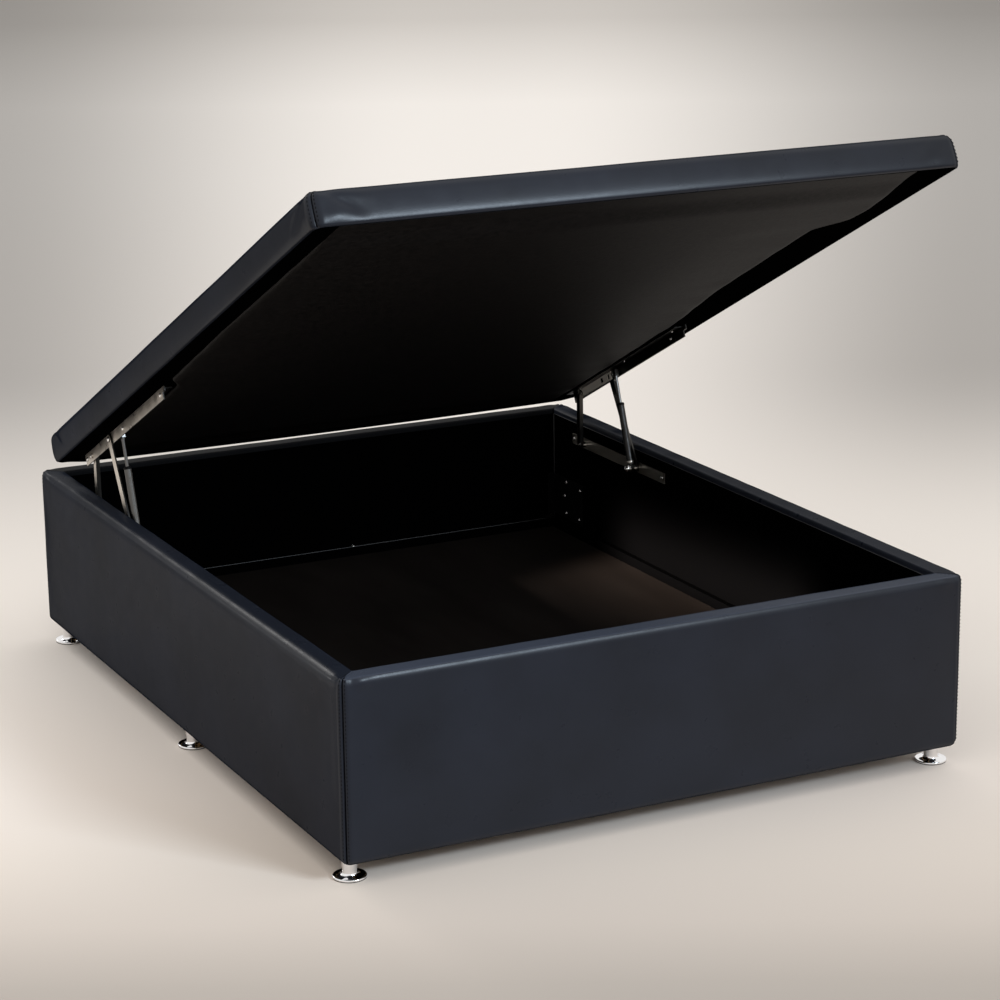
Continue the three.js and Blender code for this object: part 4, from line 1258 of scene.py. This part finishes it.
def add_rail_fittings(name, side):
    outward = ACROSS * side
    inner, outer = near_and_far(f"lift_rail_{name}")
    rows = [
        ("rail", RAIL_SCREW_PLACES, outer, RAIL_DEPTH, outward),
        ("rail_inner", RAIL_INNER_SCREW_PLACES, outer - RAIL_WEB, RAIL_DEPTH, -outward),
        ("flange", FLANGE_SCREW_PLACES, inner + FLANGE_SCREW_INSET, FLANGE_DEPTH, -LID_UP),
    ]
    for kind, places, across, depth, axis in rows:
        for count, along in enumerate(places, 1):
            place = lid_point(side * across, along, -depth)
            screw(f"{kind}_screw_{name}_{count}", place, axis, RAIL_SCREW_RADIUS, "lid")

    link = f"front_link_{name}"
    link_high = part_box(link)[1]
    face = side * (near_and_far(link)[1] - RIVET_SINK)
    rivet = (face, link_high[1] - LINK_END, link_high[2] - LINK_END)
    screw(f"link_rivet_{name}", rivet, outward, RIVET_RADIUS, link)

    # A black block sunk into the joint plate: painted shade for the dark of the plate's square
    # window
    face = side * (near_and_far(f"joint_plate_{name}")[0] - WINDOW_SINK)
    centre = lid_point(face, WINDOW_ALONG, -WINDOW_DEPTH)
    window = (centre, (LID_ALONG, LID_UP, ACROSS), WINDOW_HALVES, WINDOW_CHAMFER)
    add_blocks(f"joint_window_{name}", [window], black_paint, "lid")


def add_strut_fittings(name):
    rod, tube = f"strut_rod_{name}", f"strut_cylinder_{name}"
    rod_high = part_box(rod)[1]
    tube_low, tube_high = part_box(tube)
    x = (tube_low[0] + tube_high[0]) / 2
    radius = (tube_high[0] - tube_low[0]) / 2
    foot = bolt_centre(name, x)
    lean = math.atan2(rod_high[1] - EYE_REACH - foot.y, rod_high[2] - EYE_REACH - foot.z)
    axis = Vector((0, math.sin(lean), math.cos(lean)))
    beside = Vector((0, math.cos(lean), -math.sin(lean)))
    axes = (beside, ACROSS, axis)
    top = foot + axis * ((Vector(rod_high) - foot).dot(axis) - EYE_REACH)
    fork = [
        (top - axis * drop + beside * aside, axes, halves, chamfer)
        for drop, aside, halves, chamfer in FORK
    ]
    add_blocks(f"strut_fork_{name}", fork, rod_steel, rod)

    tube_top = Vector((x, tube_high[1], tube_high[2]))
    collar_start = (tube_top - foot).dot(axis) - COLLAR_DROP
    skin = [(radius + proud, distance) for proud, distance in COLLAR_SKIN]
    collar = [(COLLAR_BORE, 0.0), *skin, *COLLAR_MOUTH]
    place = foot + axis * collar_start
    turned(f"strut_collar_{name}", collar, place, axis, black_paint, tube)
    skin = [(radius + proud, distance) for proud, distance in END_CAP_SKIN]
    end_cap = [*END_CAP_FOOT, *skin, END_CAP_TOP]
    place = foot + axis * END_CAP_START
    turned(f"strut_end_cap_{name}", end_cap, place, axis, nickel, tube)


for side_name, side in SIDES:
    add_plate_fittings(side_name, side)
    add_rail_fittings(side_name, side)
    add_strut_fittings(side_name)


# Inside the box

BRACKET_SCREW_RADIUS = 0.0046
BRACKET_SCREW_SINK = 0.0042
BRACKET_SCREW_SHARES = [(0.48, 0.92), (0.96, 0.86), (0.42, 0.56), (0.48, 0.14), (0.92, 0.12)]
BEAD_RADIUS = 0.0009
CORNER_BEAD_RADIUS = 0.0018
CORNER_BEAD_START = 0.001
RIM_BEAD_DROP = 0.0006
BEAD_SINK = 0.0002
BATTEN_SCREW_X = 0.086
BATTEN_SCREW_SHIFT = 0.002
BATTEN_SCREW_RADIUS = 0.0042
# The corner fittings: where they stand, then half sizes and chamfer of foot and knob
FITTING_PLACE = (0.022, 0.012, 0.003)
FITTING_FOOT = ((0.012, 0.009, 0.0024), 0.0008)
FITTING_KNOB = ((0.005, 0.005, 0.0024), 0.0008)
FITTING_KNOB_SHIFT = 0.004


def add_bracket_screws():
    for end_name, end in ENDS:
        for side_name, side in SIDES:
            name = f"{end_name}_{side_name}"
            low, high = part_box(f"corner_bracket_{name}")
            corner = max(abs(low[1]), abs(high[1]))
            face = side * (near_and_far(f"corner_bracket_{name}")[1] - BRACKET_SCREW_SINK)
            for count, (along, up) in enumerate(BRACKET_SCREW_SHARES, 1):
                y = end * (corner - (high[1] - low[1]) * along)
                place = (face, y, low[2] + (high[2] - low[2]) * up)
                inward = ACROSS * -side
                screw(f"bracket_screw_{name}_{count}", place, inward, BRACKET_SCREW_RADIUS, "box")


def add_linings_trim():
    rim_edge = RIM - RIM_RETURN - RIM_BEAD_DROP
    x = INNER_HALF_WIDTH - BEAD_SINK
    y = INNER_HALF_LENGTH - BEAD_SINK
    batten_low, batten_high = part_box("head_batten")
    batten_top = batten_high[2]
    edges = {
        "foot": ((-x, -y), (x, -y)),
        "head": ((-x, y), (x, y)),
        "left": ((-x, -y), (-x, y)),
        "right": ((x, -y), (x, y)),
    }
    # The grey beads along the inner rim edges are painted highlights; the head's bead gets the
    # black lining, painted shade like the head rim
    for name, (start, stop) in edges.items():
        material = lining if name == "head" else painted_highlight_trim
        bead(f"rim_edge_{name}", (*start, rim_edge), (*stop, rim_edge), BEAD_RADIUS, material)
    for end_name, end in ENDS:
        for side_name, side in SIDES:
            start = (side * x, end * y, batten_top + CORNER_BEAD_START)
            stop = (side * x, end * y, rim_edge)
            name = f"corner_bead_{end_name}_{side_name}"
            bead(name, start, stop, CORNER_BEAD_RADIUS, trim_dark)
    # The grey bead on each batten's top edge is a painted highlight
    for end_name, end in ENDS:
        low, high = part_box(f"{end_name}_batten")
        edge_y = end * min(abs(low[1]), abs(high[1]))
        start, stop = (low[0], edge_y, high[2]), (high[0], edge_y, high[2])
        bead(f"batten_edge_{end_name}", start, stop, BEAD_RADIUS, painted_highlight_trim)
    screw_y = (batten_low[1] + batten_high[1]) / 2 - BATTEN_SCREW_SHIFT
    screw("batten_screw", (BATTEN_SCREW_X, screw_y, batten_top), UP, BATTEN_SCREW_RADIUS, "box")
    axes = (ACROSS, BACK, UP)
    inset, setback, rise = FITTING_PLACE
    for side_name, side in SIDES:
        foot = Vector((side * (x - inset), y - setback, batten_top + rise))
        knob = foot + Vector((side * FITTING_KNOB_SHIFT, 0.0, FITTING_KNOB_SHIFT))
        fitting = [(foot, axes, *FITTING_FOOT), (knob, axes, *FITTING_KNOB)]
        add_blocks(f"corner_fitting_{side_name}", fitting, dark_nickel, "box")


add_bracket_screws()
add_linings_trim()


# Light, floor and camera

FLOOR_REACH = 80.0
FLOOR_TURN = math.radians(26.5)
# Painted light on the floor: its colour by depth along the view, darker near the camera and far
# away
FLOOR_PAINTED_FALLOFF = [
    (-6.0, (0.34, 0.300, 0.262)),
    (-1.8, (0.40, 0.350, 0.305)),
    (-1.6, (0.475, 0.412, 0.358)),
    (-1.38, (0.62, 0.538, 0.470)),
    (-1.0, (0.78, 0.688, 0.605)),
    (-0.6, (0.89, 0.800, 0.725)),
    (0.2, (0.95, 0.880, 0.815)),
    (1.3, (0.93, 0.875, 0.820)),
    (3.2, (0.93, 0.88, 0.835)),
    (8.0, (0.96, 0.92, 0.88)),
    (11.0, (0.95, 0.91, 0.87)),
    (16.0, (0.65, 0.615, 0.58)),
    (30.0, (0.45, 0.42, 0.39)),
]
PALE_FLOOR = (0.75, 0.70, 0.65)
POOL_APEX = 6.63
POOL_SHORTEST = 6.0
POOL_SIDES = (0.02, 0.178)
POOL_DEPTHS = (0.7, 3.7)
PAINTED_POOL_FADE = 0.53


def add_floor():
    """A pale floor without an end, with a painted pool of light: its colour fades to its sides and
    is darker near the camera and far away.
    """
    corners = [(-1, -1), (1, -1), (1, 1), (-1, 1)]
    mesh = bpy.data.meshes.new("studio_floor")
    points = [(x * FLOOR_REACH, y * FLOOR_REACH, 0) for x, y in corners]
    mesh.from_pydata(points, [], [(0, 1, 2, 3)])
    material, tree, shader = new_material("studio_floor", PALE_FLOOR, 0.8, specular=0.1)
    place = placed(tree, "Rotation", (0.0, 0.0, FLOOR_TURN))
    depth = add_node(tree, "SeparateXYZ", "Y", {"Vector": place})
    across = depth.node.outputs["X"]
    color = ramp(tree, depth, FLOOR_PAINTED_FALLOFF[0][0], FLOOR_PAINTED_FALLOFF[-1][0], FLOOR_PAINTED_FALLOFF)
    from_apex = math_node(tree, "ADD", depth, POOL_APEX)
    width = math_node(tree, "MAXIMUM", from_apex, POOL_SHORTEST)
    side = math_node(tree, "ABSOLUTE", math_node(tree, "DIVIDE", across, width))
    fade = mapped(tree, side, POOL_SIDES, ease="SMOOTHSTEP")
    far = mapped(tree, depth, POOL_DEPTHS, ease="SMOOTHSTEP")
    amount = math_node(tree, "MULTIPLY", math_node(tree, "MULTIPLY", fade, far), PAINTED_POOL_FADE)
    inputs = {0: color, "Scale": math_node(tree, "SUBTRACT", 1.0, amount)}
    shade = add_node(tree, "VectorMath", "Vector", inputs, operation="SCALE")
    connect(tree, shader, {"Base Color": shade})
    mesh.materials.append(material)
    floor = bpy.data.objects.new("studio_floor", mesh)
    scene.collection.objects.link(floor)


add_floor()

COOL = (0.72, 0.86, 1.0)
WARM = (1.0, 0.86, 0.76)
DAYLIGHT = (1.0, 0.98, 0.95)
# Lamps: (name, place, target, size, watts, colour, spread in degrees)
LAMPS = [
    ("key_light", (1.5, -5.4, 3.0), (-2.6, -0.9, 0.7), (1.8, 0.8), 60.0, COOL, 76.0),
    ("inside_light", (-4.0, -0.9, 1.553), (0.90, 0.10, 0.115), (0.9, 0.12), 5.5, WARM, 3.0),
    ("back_light", (-2.1, 6.0, 3.6), (-0.85, -0.8, 0.42), (2.6, 1.4), 1.6, DAYLIGHT, 24.0),
    ("floor_light", (-1.36, 0.25, 3.2), (-1.36, 0.25, 0.0), (0.5, 1.7), 0.33, DAYLIGHT, 20.0),
]
for name, place, target, size, watts, color, beam in LAMPS:
    light = bpy.data.lights.new(name, "AREA")
    light.shape = "RECTANGLE"
    light.size, light.size_y = size
    light.energy = watts
    light.color = color
    light.spread = math.radians(beam)
    lamp = bpy.data.objects.new(name, light)
    lamp.location = place
    lamp.rotation_euler = (Vector(target) - Vector(place)).to_track_quat("-Z", "Y").to_euler()
    scene.collection.objects.link(lamp)

world = bpy.data.worlds.new("studio")
scene.world = world
world.use_nodes = True
background = world.node_tree.nodes["Background"]
background.inputs["Color"].default_value = (1.0, 0.985, 0.965, 1.0)
background.inputs["Strength"].default_value = 0.94

CAMERA_PLACE = (-2.8895, -5.9648, 2.2893)
CAMERA_YAW = math.radians(26.487)
CAMERA_PITCH = math.radians(15.192)
CAMERA_ROLL = math.radians(-0.723)
FOCAL_SHARE = 2.9013
SENSOR_WIDTH = 36.0

camera_data = bpy.data.cameras.new("camera")
camera_data.sensor_width = SENSOR_WIDTH
camera_data.lens = FOCAL_SHARE * SENSOR_WIDTH
camera_data.clip_end = 300.0
camera = bpy.data.objects.new("camera", camera_data)
ahead = Vector((math.sin(CAMERA_YAW), math.cos(CAMERA_YAW), 0.0))
forward = ahead * math.cos(CAMERA_PITCH) - UP * math.sin(CAMERA_PITCH)
level = Vector((math.cos(CAMERA_YAW), -math.sin(CAMERA_YAW), 0.0))
upright = level.cross(forward)
right = level * math.cos(CAMERA_ROLL) + upright * math.sin(CAMERA_ROLL)
up = -level * math.sin(CAMERA_ROLL) + upright * math.cos(CAMERA_ROLL)
turn = Matrix((right, up, -forward)).transposed().to_4x4()
camera.matrix_world = Matrix.Translation(CAMERA_PLACE) @ turn
scene.collection.objects.link(camera)
scene.camera = camera

scene.view_settings.view_transform = "Standard"
